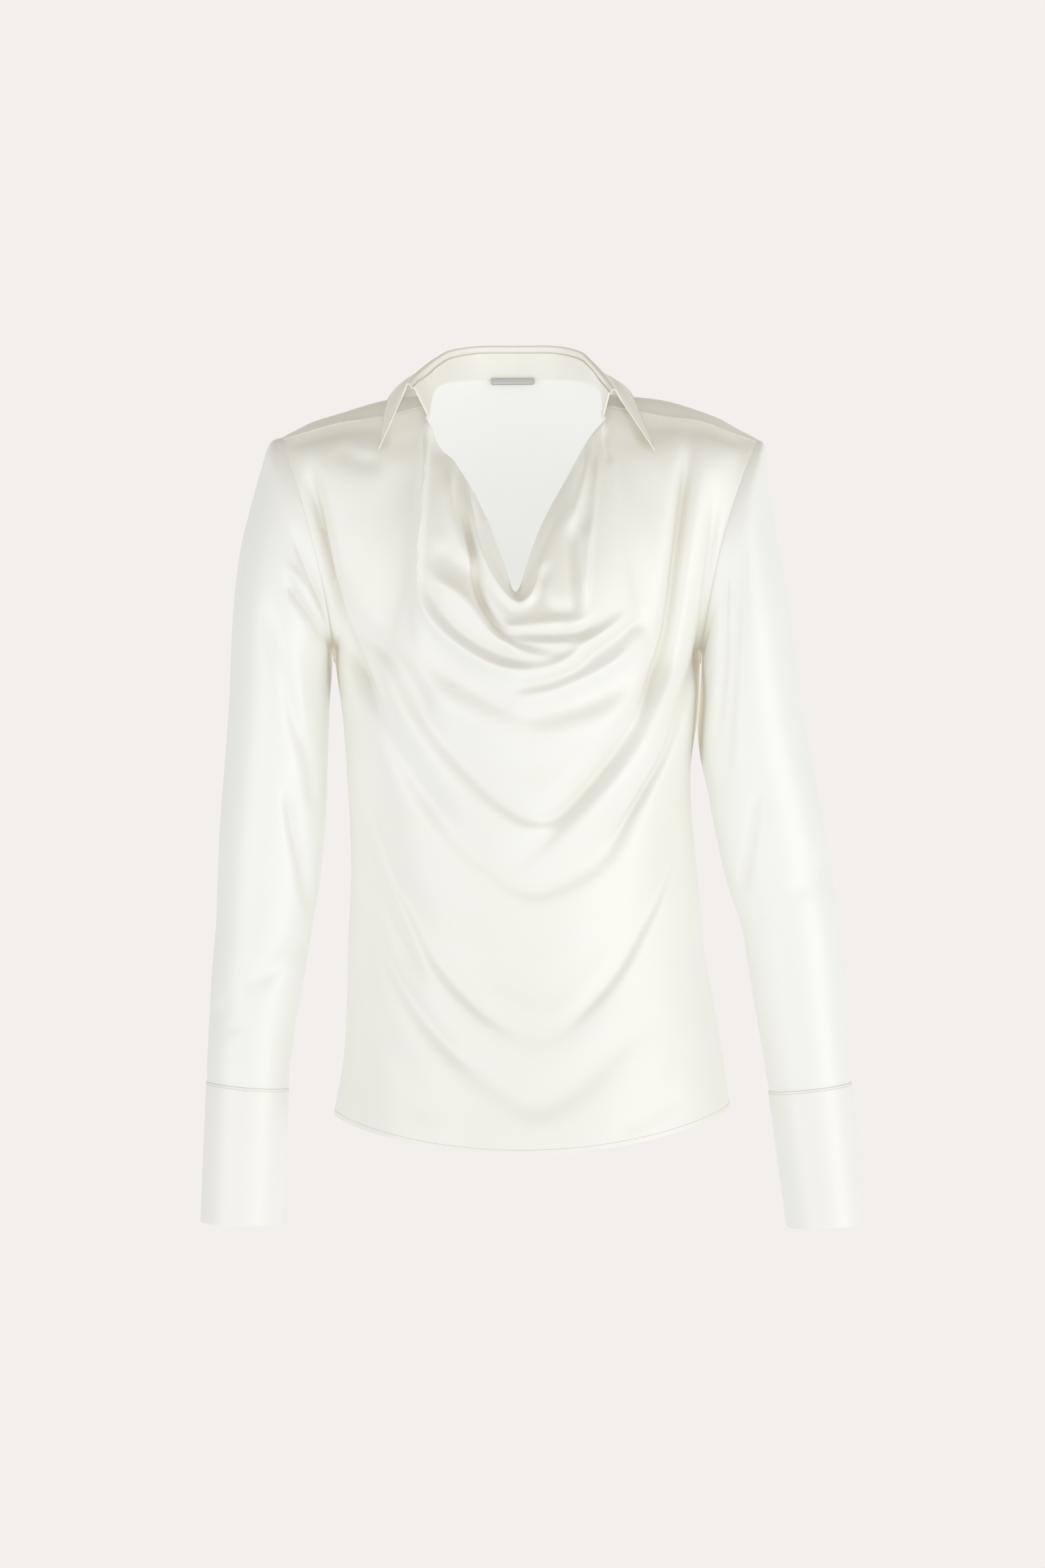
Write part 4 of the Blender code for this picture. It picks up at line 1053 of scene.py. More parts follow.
def silk_reverse(name):
    made, tree = new_material(name)
    cloth = add_node(tree, "UVMap", {}, uv_map="cloth")
    crepe = {"Vector": cloth.outputs[0], "Scale": 1 / CREPE_GRAIN, "Detail": 2.0}
    grain = add_node(tree, "TexNoise", crepe, noise_dimensions="2D")
    tints = {0: grain.outputs[0], 6: linear("#EDEDEB"), 7: linear("#F3F4F4")}
    colour = add_node(tree, "Mix", tints, data_type="RGBA")
    surface = {
        "Base Color": colour.outputs[2],
        "Roughness": 0.7,
        # Painted light: the inside glows faintly.
        "Emission Color": linear("#F4F4F2"),
        "Emission Strength": PAINTED_GLOW_INSIDE,
    }
    crepe_side = add_node(tree, "BsdfPrincipled", surface)
    add_node(tree, "OutputMaterial", {"Surface": crepe_side.outputs[0]})
    return made


SILK_REVERSE = silk_reverse("silk satin reverse")
print("finish of the inside:", SILK_REVERSE.name)

# %% [markdown]
# ## How a panel meets its seams
# Cloth doesn't end at a seam, it rolls into it: two layers are pressed open there, and the
# seam line sits a little below the surface. Creases die away towards a seam, because the
# stitches hold the cloth flat. The front's free edge, the neckline, is the opposite: it
# rolls back into the cowl. A bevel on the finished mesh would round every edge alike, so
# the roll is worked out from each point's distance to the seams.

# %% Seams of the panels
ROLL_DEPTH = 0.22
ROLL_WIDTH = 1.2
SEAM_OVERLAP = 0.5
SIDE_SEAM_FADE = 0.05
TOP_SEAM_ROWS = 2
NECKLINE_FREE_MARGIN = 0.08
NECKLINE_ROLL = 12
NECKLINE_ROLL_FROM = 10
NECKLINE_ROLL_WIDTH = (5, 17)
NECKLINE_ROLL_WIDENS = 0.16
NECKLINE_ROLL_FADE = 0.25
PANEL_EDGE_LEAN = 0.15
PANEL_ACROSS = 188
PANEL_PLACES = spread(TORSO_COLUMNS, PANEL_ACROSS)
PANEL_U = np.abs(PANEL_PLACES / TORSO_COLUMNS * 2 - 1)


def into_seam(distance):
    """Depth to which cloth sinks, by its distance from a seam."""
    return ROLL_DEPTH * bell(distance, ROLL_WIDTH)


def crease_room(top, down, front):
    """How freely each point may crease: 0 at the seams, 1 elsewhere and at the neckline."""
    at_side = smooth_step((1 - PANEL_U) / SIDE_SEAM_FADE)
    at_top = smooth_step((top - down) / TOP_SEAM_ROWS)[:, None]
    if front:
        free = smooth_step((FRONT_POINT_COLUMN - PANEL_U) / NECKLINE_FREE_MARGIN)
        at_top = at_top + (1 - at_top) * free
    return at_side * at_top


def roll_neckline(grid, from_top):
    """Rolls the front's free edge back, over a wider strip away from its middle."""
    narrow, wide = NECKLINE_ROLL_WIDTH
    width = narrow + (wide - narrow) * smooth_step(PANEL_U / NECKLINE_ROLL_WIDENS)
    rolled = bell(np.maximum(from_top - NECKLINE_ROLL_FROM, 0), width)
    fade = smooth_step((FRONT_POINT_COLUMN - PANEL_U) / NECKLINE_ROLL_FADE)
    grid[..., 1] += NECKLINE_ROLL * rolled * fade


def turn_sides_out(normals, low):
    """Makes the normals along the side seams and armholes point out sideways."""
    for column, side in ((0, RIGHT), (-1, LEFT)):
        edge = normals[:, column]
        edge[low] = vector(side, 0, 0)
        leaning = ~low & (edge[:, 0] * side < PANEL_EDGE_LEAN)
        edge[leaning, 0] = PANEL_EDGE_LEAN * side
        normals[:, column] = unit(edge)


print("cloth sinks at a seam by (mm):", ROLL_DEPTH)

# %% [markdown]
# ## Front and back panels
# The smooth surface gets its creases first and is then sewn in. The back laps over the
# forward shoulder seams, where the allowances beneath push up a fine bead. The hem is
# turned up twice, which makes it thicker for the last few millimetres, with a shallow
# groove where the stitches pull. Both panels are made by one function, so that they meet
# point for point at the side seams.

# %% Panels
PANEL_FRONT_DOWN = 226
PANEL_BACK_DOWN = 150
SHOULDER_OVERLAP = 1.4
SHOULDER_BEAD = 0.55
SHOULDER_BEAD_IN = 0.9
SHOULDER_BEAD_WIDTH = 0.8
HEM_DEPTH = 3.6
HEM_GROOVE = 0.15
HEM_GROOVE_WIDTH = 0.8
HEM_THICKER = 0.35


def torso_panel(name, front, finish):
    coarse = front_grid() if front else back_grid()
    facing = 1 if front else -1
    top = len(coarse) - 1
    down = spread(top, PANEL_FRONT_DOWN if front else PANEL_BACK_DOWN)
    grid = refine(coarse, down, PANEL_PLACES)
    folds = FRONT_FOLDS if front else BACK_FOLDS
    grid = crease(grid, normals_of(grid, False, facing), folds, crease_room(top, down, front))
    normals = normals_of(grid, False, facing)
    low = down <= LOWER_ROWS
    for column in (0, -1):
        grid[low, column, 1] = SEAM_OVERLAP / 2 * facing
    from_side = distance_along(grid, 1)
    from_hem = distance_along(grid, 0)
    from_top = from_far_end(from_hem, 0)
    sink = into_seam(from_side) + into_seam(from_far_end(from_side, 1))
    if front:
        sink = sink + into_seam(from_top) * 2 * (PANEL_U >= FRONT_NECK_COLUMN)
        roll_neckline(grid, from_top)
        normals = normals_of(grid, False, facing)
    else:
        turn_sides_out(normals, low)
        grid[-1] += unit(grid[-1] - grid[-2]) * SHOULDER_OVERLAP
        bead = bell(from_top - SHOULDER_BEAD_IN, SHOULDER_BEAD_WIDTH) * SHOULDER_BEAD
        sink = sink - bead * (PANEL_U > BACK_NECK_COLUMN)
    groove = bell(from_hem - HEM_DEPTH, HEM_GROOVE_WIDTH) * HEM_GROOVE
    sink = np.minimum(sink, ROLL_DEPTH * 2) + groove
    thicker = HEM_THICKER * smooth_step((HEM_DEPTH - from_hem) / HEM_GROOVE_WIDTH)
    outer = grid - normals * sink[..., None]
    inner = grid - normals * (CLOTH + sink + thicker)[..., None]
    piece = add_shell(name, outer, inner, False, finish, SILK_REVERSE)
    return piece, outer, normals


front_piece, front_face, front_normals = torso_panel("front_silk", True, FRONT_SATIN)
back_piece, back_face, back_normals = torso_panel("back_silk", False, BACK_SATIN)
for word, face in (("front", front_face), ("back", back_face)):
    print(word, "area (m2):", round(cloth_area(face), 3))

# %% [markdown]
# ## The sleeves' rings
# A set-in sleeve is a tube. It is described by level rings at named places of the arm, with
# the ring's outermost and innermost point on each side, and its depth in front and behind.
# Arms hang slightly forward, so the rings swing to the front on the way down. The creases
# run from the armhole and gather inside the elbow, with only a few at the back.

# %% Sleeve tables
# right and left are the wearer's sides: outermost x and z, then innermost x and z.
SleeveSection = namedtuple("SleeveSection", "name front_y back_y swing right left")
SLEEVE = [
    SleeveSection("head_1", 51, 54, 0, (-210.0, -37, -157.6, -214), (205.6, -38, 152.7, -214)),
    SleeveSection("head_2", 54, 57, 0, (-218.4, -63, -157.6, -221), (208.0, -58, 152.8, -220)),
    SleeveSection("head_3", 56, 59, 0, (-226.5, -92, -158.2, -232), (211.0, -86, 152.4, -230)),
    SleeveSection("head_4", 57, 60, 0, (-234.5, -126, -159.2, -245), (217.0, -120, 151.6, -243)),
    SleeveSection("biceps", 57, 60, -1, (-239.5, -165, -160.2, -260), (223.2, -157, 150.6, -258)),
    SleeveSection("upper_1", 56, 59, -2, (-242.0, -204, -160.6, -278), (230.0, -204, 149.4, -279)),
    SleeveSection("upper_2", 54, 57, -3, (-244.0, -256, -161.4, -304), (237.0, -257, 152.0, -303)),
    SleeveSection("upper_3", 51, 54, -4, (-247.5, -305, -162.0, -332), (244.6, -302, 157.6, -328)),
    SleeveSection("above_elbow", 48, 51, -5, (-251.4, -356, -164.4, -370), (254.0, -350, 164.6, -366)),
    SleeveSection("elbow", 45, 48, -5, (-253.4, -402, -168.4, -408), (261.6, -396, 174.0, -406)),
    SleeveSection("below_elbow", 43, 46, -6, (-254.6, -440, -174.4, -443), (267.0, -434, 186.0, -442)),
    SleeveSection("forearm_1", 41, 42, -8, (-257.8, -478, -180.4, -483), (271.4, -476, 192.8, -484)),
    SleeveSection("forearm_2", 38, 39, -11, (-260.0, -523, -188.4, -528), (273.6, -521, 200.4, -529)),
    SleeveSection("wrist", 36, 36, -14, (-261.4, -552, -192.2, -558), (275.6, -552, 205.4, -560)),
    SleeveSection("cuff_seam", 35, 35, -15, (-261.4, -571, -193.6, -577), (276.6, -571.5, 208.4, -579.5)),
]
SLEEVE_FOLDS = {
    RIGHT: [
        Fold("head_drag", -4.5, 7, 4, [
            (-192, -102), (-182, -132), (-171, -157), (-162, -182), (-158, -204),
        ]),
        Fold("head_ridge", 3.2, 4, 4, [(-198, -136), (-183, -155), (-168, -178), (-159, -204)]),
        Fold("head_drag_2", -4.5, 4, 6, [(-199, -146), (-186, -165), (-171, -184), (-160, -208)]),
        Fold("long_inner", -3.6, 5, 8, [
            (-212, -166), (-206, -196), (-196, -230), (-188, -269), (-179, -300),
        ]),
        Fold("above_elbow", -3.4, 5, 5, [(-184, -276), (-178, -300), (-174, -324), (-172, -350)]),
        Fold("elbow_inner", -5.5, 8, 4, [(-198, -318), (-191, -358), (-182, -398), (-175, -440)]),
        Fold("elbow_cross", -4.0, 9, 8, [(-172, -454), (-190, -464), (-213, -482), (-232, -494)]),
        Fold("outer_small", -2.0, 8, 9, [(-256, -504), (-248, -516), (-240, -526), (-236, -534)]),
    ],
    LEFT: [
        Fold("thin_front", -3.6, 4, 3, [
            (172, -120), (171, -170), (169, -222), (165, -272), (163, -304),
        ]),
        Fold("long_front", -4.4, 6, 8, [
            (186, -106), (182, -168), (179, -224), (175, -272), (170, -342),
        ]),
        Fold("elbow_front", -4.6, 7, 4, [(201, -322), (194, -362), (188, -396), (184, -420)]),
        Fold("outer_small", -2.0, 9, 10, [(226, -416), (236, -408), (244, -396), (250, -380)]),
    ],
}
SLEEVE_BACK_FOLDS = {
    RIGHT: [
        Fold("back_drag", -3.2, 8, 12, [(-186, -96), (-176, -150), (-170, -200), (-166, -240)]),
        Fold("back_elbow_high", -3.0, 8, 12, [(-244, -356), (-216, -372), (-190, -380), (-172, -376)]),
        Fold("back_elbow_low", -3.0, 8, 12, [(-248, -424), (-220, -412), (-194, -412), (-176, -424)]),
        Fold("back_forearm", -2.4, 9, 10, [(-236, -460), (-226, -500), (-220, -540), (-222, -560)]),
    ],
    LEFT: [
        Fold("back_drag", -3.2, 8, 12, [(160, -236), (164, -196), (170, -148), (182, -98)]),
        Fold("back_elbow_high", -3.0, 8, 12, [(170, -370), (190, -378), (218, -370), (248, -352)]),
        Fold("back_elbow_low", -3.0, 8, 12, [(182, -420), (204, -408), (232, -410), (258, -422)]),
        Fold("back_forearm", -2.4, 9, 10, [(238, -456), (234, -500), (236, -540), (240, -560)]),
    ],
}
print("rings from the armhole to the wrist:", len(SLEEVE))

# %% [markdown]
# ## Sewing the sleeves in
# The first ring of a sleeve is the armhole itself, so the seam closes exactly, and the head
# swells out of it over a small pad. A tube with a subdivision modifier would be quicker,
# but its first ring would no longer lie on the seam.

# %% Sleeve builder
ARMHOLE_OVERLAP = 1.0
BOW_BELOW_ARMHOLE = (0.55, 0.3, 0.12)
SLEEVE_AROUND = 96
SLEEVE_DOWN = 190
SLEEVE_INTO_CUFF = 1.5
SLEEVE_HEAD_FADE = 2
SLEEVE_WRIST_FADE = 1.5
FRONT_TO_BACK = 2.5
RING_ANGLES = np.arange(SLEEVE_AROUND) * 360 / SLEEVE_AROUND
RING_TURNS = np.radians(RING_ANGLES)
SIDES = {"right": RIGHT, "left": LEFT}


def sleeve_ring(section, side):
    """One ring of a sleeve, from its outer point round by the front."""
    outer_x, outer_z, inner_x, inner_z = section.right if side == RIGHT else section.left
    outer = vector(outer_x, section.swing, outer_z)
    inner = vector(inner_x, section.swing, inner_z)
    ring = outer + (inner - outer) * ((1 - np.cos(RING_TURNS)) / 2)[:, None]
    depth = np.where(np.sin(RING_TURNS) >= 0, section.front_y, section.back_y)
    ring[:, 1] -= depth * np.sin(RING_TURNS)
    return ring


def sleeve_grid(side):
    """The armhole and the rings below it, which follow its bow for a while."""
    first = []
    for angle in RING_ANGLES:
        point = armhole_point(side, angle if angle <= 180 else angle - 360)
        first.append(point - vector(ARMHOLE_OVERLAP * side, 0, 0))
    grid = np.array([first] + [sleeve_ring(section, side) for section in SLEEVE])
    for k, share in enumerate(BOW_BELOW_ARMHOLE):
        for j, angle in enumerate(RING_ANGLES):
            grid[k + 1, j, 0] += armhole_bow(side, min(angle, 360 - angle)) * share
    return grid


def sleeve(name, side, finish):
    coarse = sleeve_grid(side)
    last = len(coarse) - 1
    down = spread(last, SLEEVE_DOWN)
    grid = curve(np.arange(len(coarse)), coarse, down)
    normals = normals_of(grid, True, side)
    at_head = smooth_step(down / SLEEVE_HEAD_FADE)
    at_ends = (at_head * smooth_step((last - down) / SLEEVE_WRIST_FADE))[:, None]
    for folds, facing in ((SLEEVE_FOLDS[side], 1), (SLEEVE_BACK_FOLDS[side], -1)):
        shown = smooth_step(facing * np.sin(RING_TURNS) * FRONT_TO_BACK)
        grid = crease(grid, normals, folds, at_ends * shown)
    normals = normals_of(grid, True, side)
    grid[-1] += unit(grid[-1] - grid[-2]) * SLEEVE_INTO_CUFF
    from_head = distance_along(grid, 0)
    sink = into_seam(from_head) + into_seam(from_far_end(from_head, 0))
    outer = grid - normals * sink[..., None]
    inner = grid - normals * (CLOTH + sink)[..., None]
    crossed = (inner[0, :, 0] - grid[0, :, 0]) * side < 0
    inner[0, crossed, 0] = grid[0, crossed, 0]
    outer[0, :, 0] = grid[0, :, 0]
    piece = add_shell(name, outer, inner, True, finish, SILK_REVERSE)
    return piece, outer


sleeves = {}
for word, side in SIDES.items():
    sleeves[word] = sleeve(f"sleeve_{word}_silk", side, SLEEVE_SATIN)
    print("sleeve area (m2):", round(cloth_area(sleeves[word][1]), 3))

# %% [markdown]
# ## Cuffs
# A deep cuff is two layers of satin with a stiff layer between them, so it keeps its round
# shape and barely creases. It is a straight tube from the sleeve's last ring, a little
# wider than it, to the cuff's edge. A cylinder would be as quick, but its top would not
# follow the seam.

# %% Cuffs
CUFF_EDGE = SleeveSection(
    "cuff_edge", 36, 36, -21, (-266.4, -686.7, -198.4, -688.2), (289.0, -687.2, 222.4, -691.7)
)
CUFF_CLOTH = 1.5
CUFF_TOP_GROWTH = 0.8
CUFF_DOWN = 44
CUFF_EDGE_ROLL = 0.6
CUFF_INNER_FOLLOWS = 0.3


def cuff(name, side, finish):
    out = np.stack(
        [np.cos(RING_TURNS) * side, -np.sin(RING_TURNS), np.zeros_like(RING_TURNS)], -1
    )
    top = sleeve_ring(SLEEVE[-1], side) + out * CUFF_TOP_GROWTH
    bottom = sleeve_ring(CUFF_EDGE, side)
    share = spread(1, CUFF_DOWN)[:, None, None]
    grid = top + (bottom - top) * share
    normals = normals_of(grid, True, side)
    from_top = distance_along(grid, 0)
    sink = into_seam(from_top) + into_seam(from_far_end(from_top, 0)) * CUFF_EDGE_ROLL
    outer = grid - normals * sink[..., None]
    inner = grid - normals * (CUFF_CLOTH - sink * CUFF_INNER_FOLLOWS)[..., None]
    piece = add_shell(name, outer, inner, True, finish)
    return piece, outer


cuffs = {}
for word, side in SIDES.items():
    cuffs[word] = cuff(f"cuff_{word}_silk", side, CUFF_SATIN)
    print("cuff area (m2):", round(cloth_area(cuffs[word][1]), 4))

# %% [markdown]
# ## Collar stand
# The stand is a band of stiffened cloth that rises from the neck seam and carries the
# collar. Its lower edge is sewn over the panels' allowances, which show as a fine bead. It
# is built as lines of points, one after the other round the neck, because the band's height
# and lean change all the way.

# %% Collar stand
COLLAR_CLOTH = 1.3
COLLAR_WALL = 1.7
COLLAR_ACROSS = 150
COLLAR_END_LINES = (0.0012, 0.0028, 0.0045, 0.0065, 0.009, 0.012, 0.016, 0.021, 0.027)
COLLAR_END_GAP = 1.2
STAND_SEAM_BELOW_FOLD = 8
STAND_BELOW_SEAM = 1.2
STAND_UNDER_FALL = 1.0
STAND_END_SHARE = 0.55
STAND_END_FADE = 0.35
STAND_DOWN = 14
STAND_TUCK = 0.15
STAND_TUCK_WIDTH = 1.5
NECK_SEAM_BEAD = 0.6
NECK_SEAM_BEAD_WIDTH = 1.1


def collar_places():
    """Places round the collar, from -1 to 1, closer together at its two front ends."""
    even = np.linspace(-1, 1, COLLAR_ACROSS + 1)
    near = np.array(COLLAR_END_LINES)
    even = even[np.abs(even) < 1 - near[-1] * COLLAR_END_GAP]
    return np.concatenate([[-1], near - 1, even, 1 - near[::-1], [1]])


def stand_top(s):
    """Where the stand ends and the fall begins, on the neck side."""
    fold = around_neck(FOLD_LINE, s)
    seam = around_neck(NECK_SEAM, s)
    share = STAND_END_SHARE
    share += (1 - STAND_END_SHARE) * smooth_step((1 - abs(s)) / STAND_END_FADE)
    return fold + unit(seam - fold) * STAND_SEAM_BELOW_FOLD * share


def collar_stand(name, finish):
    faces = []
    for s in collar_places():
        seam = around_neck(NECK_SEAM, s)
        out = away_from_neck(seam)
        top = stand_top(s)
        rise = unit(top - seam)
        low = seam - rise * STAND_BELOW_SEAM - out * COLLAR_WALL
        share = spread(1, STAND_DOWN)[:, None]
        faces.append(low + (top + rise * STAND_UNDER_FALL - low) * share)
    neck_side = np.array(faces).swapaxes(0, 1)
    normals = normals_of(neck_side, False, 1)
    from_seam = distance_along(neck_side, 0)
    bead = bell(from_seam - STAND_BELOW_SEAM, NECK_SEAM_BEAD_WIDTH) * NECK_SEAM_BEAD
    tuck = smooth_step(1 - from_far_end(from_seam, 0) / STAND_TUCK_WIDTH) * STAND_TUCK
    outer = neck_side + normals * COLLAR_CLOTH
    inner = neck_side + normals * (tuck - bead)[..., None]
    return add_shell(name, outer, inner, False, finish), neck_side


stand_piece, stand_face = collar_stand("collar_stand_silk", COLLAR_SATIN)
middle = stand_face.shape[1] // 2
stand_rise = float(stand_face[-1, middle, 2] - stand_face[0, middle, 2])
print("stand height at the back (mm):", round(stand_rise, 1))

# %% [markdown]
# ## Collar fall
# The collar that shows, called the fall, is sewn to the top of the stand, rolls over the
# fold line and lies out over the shoulders with two long points. Its free edges are bagged
# out and stitched about two millimetres in, so that they stand up like a fine cord. Bending
# a flat strip with modifiers would bring the points out of place, so each line of the fall
# is drawn over the fold and out to its own place on the collar's edge.

# %% Collar fall
FOLD_RADIUS = 2.6
FOLD_START = 0.25
FALL_TURN = [(0.3, -0.3), (1.0, 0.0), (1.7, -0.3)]
FALL_DOWN = [0.08, 0.38, 0.70, 1.0]
FALL_LINES = 70
FALL_EDGE_LINES = (0.4, 0.8, 1.3, 1.8, 2.2, 2.6, 3.1, 3.8, 4.8)
FALL_EDGE_GAP = 0.5
COLLAR_BULGE = 3
COLLAR_POINT_FADE = 0.3
EDGE_STITCH_IN = 2.2
EDGE_STITCH_DEPTH = 0.5
EDGE_STITCH_WIDTH = 0.8
RIM_SINK = 0.35
RIM_WIDTH = 0.5
PAST_FOLD = 14
PAST_FOLD_FADE = 6
NO_RIM_BEFORE_FOLD = 60
FALL_INNER_FOLLOWS = 0.4


def fall_line(s):
    """Points of the fall at one place round the neck: stand, fold, then out to the edge."""
    up = vector(0, 0, 1)
    start = stand_top(s)
    fold = around_neck(FOLD_LINE, s)
    edge = around_neck(COLLAR_EDGE, s)
    out = unit((edge - fold) * vector(1, 1, 0))
    neck_side = fold - up * FOLD_RADIUS
    outside = neck_side + out * 2 * FOLD_RADIUS
    line = [start, neck_side + (start - neck_side) * FOLD_START]
    line += [fold + (out * across + up * rise) * FOLD_RADIUS for across, rise in FALL_TURN]
    fade = smooth_step((1 - abs(s)) / COLLAR_POINT_FADE)
    for share in FALL_DOWN:
        bulge = COLLAR_BULGE * math.sin(math.pi * share) * fade
        line.append(outside + (edge - outside) * share + out * bulge)
    return line


def collar_fall(name, finish):
    coarse = np.array([fall_line(s) for s in collar_places()]).swapaxes(0, 1)
    knots = distance_along(coarse, 0).mean(axis=1)
    places = np.linspace(0, knots[-1], FALL_LINES)
    near = knots[-1] - np.array(FALL_EDGE_LINES[::-1])
    places = np.concatenate([places[places < near[0] - FALL_EDGE_GAP], near, [knots[-1]]])
    grid = curve(knots, coarse, places)
    normals = normals_of(grid, False, 1)
    from_start = distance_along(grid, 0)
    from_front = distance_along(grid, 1)
    from_front = np.minimum(from_front, from_far_end(from_front, 1))
    over_fold = smooth_step((from_start - PAST_FOLD) / PAST_FOLD_FADE)
    from_front = from_front + NO_RIM_BEFORE_FOLD * (1 - over_fold)
    from_rim = np.minimum(from_far_end(from_start, 0), from_front)
    groove = bell(from_rim - EDGE_STITCH_IN, EDGE_STITCH_WIDTH)
    sink = groove * EDGE_STITCH_DEPTH + RIM_SINK * bell(from_rim, RIM_WIDTH)
    outer = grid - normals * sink[..., None]
    inner = grid - normals * (COLLAR_CLOTH - sink * FALL_INNER_FOLLOWS)[..., None]
    return add_shell(name, outer, inner, False, finish), outer, normals


fall_piece, fall_face, fall_normals = collar_fall("collar_fall_silk", COLLAR_SATIN)
print("fall area (m2):", round(cloth_area(fall_face), 4))

# %% [markdown]
# ## Brushed steel
# The small bar at the neck is brushed stainless steel: a belt of grit has drawn long fine
# lines along it, which stretch every highlight and leave a soft grey shine. Real grit lines
# are about 0.02 mm wide. They are drawn 0.17 mm wide, coarser, so that they show. Noise
# that is stretched along the bar gives them, and no two lines are alike.

# %% Brushed steel
STREAKS_PER_METRE = (60, 60, 6000)
STREAK_RELIEF = 0.1 * MM
STEEL_ROUGHNESS = (0.24, 0.42)


def brushed_steel(name):
    made, tree = new_material(name)
    space = add_node(tree, "TexCoord", {})
    drawn = {0: space.outputs["Object"], 1: STREAKS_PER_METRE}
    streaks = add_node(tree, "VectorMath", drawn, operation="MULTIPLY")
    grit = {"Vector": streaks.outputs[0], "Scale": 1.0, "Detail": 2.0}
    grain = add_node(tree, "TexNoise", grit)
    smooth, rough = STEEL_ROUGHNESS
    span = {1: NOISE_LOW, 2: NOISE_HIGH, 3: smooth, 4: rough}
    gloss = add_node(tree, "MapRange", {0: grain.outputs[0], **span})
    lines = {"Height": grain.outputs[0], "Strength": 0.15, "Distance": STREAK_RELIEF}
    relief = add_node(tree, "Bump", lines)
    surface = {
        "Base Color": linear("#C9C8C6"),
        "Metallic": 1.0,
        "Roughness": gloss.outputs[0],
        "Normal": relief.outputs[0],
    }
    steel = add_node(tree, "BsdfPrincipled", surface)
    add_node(tree, "OutputMaterial", {"Surface": steel.outputs[0]})
    return made


STEEL = brushed_steel("brushed stainless steel")
print("finish of the label:", STEEL.name)

# %% [markdown]
# ## Label
# A small metal bar is sewn to the inside of the back neck seam. Its face is bare, inside a
# fine raised border. It could be a rounded box, but it has to bend with the neck, so it is
# made of lines across, each set on the neck seam where it lies.

# %% Label plate
LABEL_WIDTH = 38
LABEL_HEIGHT = 5.6
LABEL_THICKNESS = 0.9
LABEL_CORNER = 2.2
LABEL_BORDER = 0.45
LABEL_RELIEF = 0.25
LABEL_BEVEL = 0.2
LABEL_FACE_FADE = 0.3
LABEL_WALL_KEPT = 0.02
LABEL_LINES = 48
LABEL_X = -6.2
LABEL_DROP = 3.6
LABEL_TILT = 0.25
LABEL_CLEARANCE = 1.0
NECK_CENTRE_X = -2.0
NECK_REACH = 207


def label_line(along):
    """Points over the plate at a share of its width: rim, border, sunk face and back."""
    x = LABEL_X + LABEL_WIDTH * (along - 0.5)
    seam = around_neck(NECK_SEAM, (x - NECK_CENTRE_X) / NECK_REACH)
    from_end = LABEL_WIDTH * min(along, 1 - along)
    short = max(LABEL_CORNER - from_end, 0)
    half = LABEL_HEIGHT / 2 - LABEL_CORNER + math.sqrt(LABEL_CORNER**2 - short**2)
    sunk = LABEL_RELIEF * float(smooth_step((from_end - LABEL_BORDER) / LABEL_FACE_FADE))
    lower = [
        (0, 0),
        (0, LABEL_THICKNESS - LABEL_BEVEL),
        (LABEL_BEVEL, LABEL_THICKNESS),
        (LABEL_BORDER, LABEL_THICKNESS),
        (LABEL_BORDER + LABEL_BEVEL, LABEL_THICKNESS - sunk),
    ]
    rows = [(inward - half, thick) for inward, thick in lower]
    rows += [(half - inward, thick) for inward, thick in reversed(lower)]
    points = []
    for height, thick in rows:
        y = seam[1] - COLLAR_WALL - LABEL_CLEARANCE - LABEL_TILT * max(height, 0) - thick
        points.append(vector(x, y, seam[2] - LABEL_DROP + height))
    return points


def label_plate(name, finish):
    ease = 0.5 - 0.5 * np.cos(np.linspace(0, math.pi, LABEL_LINES + 1))
    outer = np.array([label_line(along) for along in ease]).swapaxes(0, 1)
    inner = outer.copy()
    inner[..., 1] = outer[[0, -1], :, 1].mean(axis=0)[None, :]
    inner[1:-1, :, 1] += LABEL_WALL_KEPT
    return add_shell(name, outer, inner, False, finish)


label_piece = label_plate("label_plate", STEEL)

# %% [markdown]
# ## Sewing thread
# The thread is twisted silk, a little warmer and duller than the cloth. Its twist, about
# 0.4 mm long, is a faint change of colour along it. From afar a plain colour would do, but
# close up the twist tells thread from a bead of paint.

# %% Silk thread
TWIST_LENGTH = 0.4 * MM


def silk_thread(name):
    made, tree = new_material(name)
    space = add_node(tree, "TexCoord", {})
    twist = {"Vector": space.outputs["Object"], "Scale": 1 / TWIST_LENGTH, "Detail": 1.0}
    fibres = add_node(tree, "TexNoise", twist)
    tints = {0: fibres.outputs[0], 6: linear("#E6E3D8"), 7: linear("#F2F0E9")}
    colour = add_node(tree, "Mix", tints, data_type="RGBA")
    surface = {"Base Color": colour.outputs[2], "Roughness": 0.45, "Sheen Weight": 0.2}
    thread = add_node(tree, "BsdfPrincipled", surface)
    add_node(tree, "OutputMaterial", {"Surface": thread.outputs[0]})
    return made


THREAD = silk_thread("silk sewing thread")
print("finish of the stitches:", THREAD.name)

# %% [markdown]
# ## Stitches
# A machine stitch is a small bead of thread, about 2 mm long and 0.4 mm thick, pulled partly
# into the cloth. A bump could fake it, but real beads catch the light from every side. One loop
# lays them along a line of points on the cloth.

# %% Stitch builder
STITCH_PITCH = 2.6
STITCH_LENGTH = 1.9
STITCH_RADIUS = 0.2
STITCH_RAISED = 0.4
STITCH_SIDES = 5
STITCH_PROFILE = ((-0.5, 0.25), (-0.3, 0.9), (0.0, 1.0), (0.3, 0.9), (0.5, 0.25))
SHORTEST_STEP = 1e-6


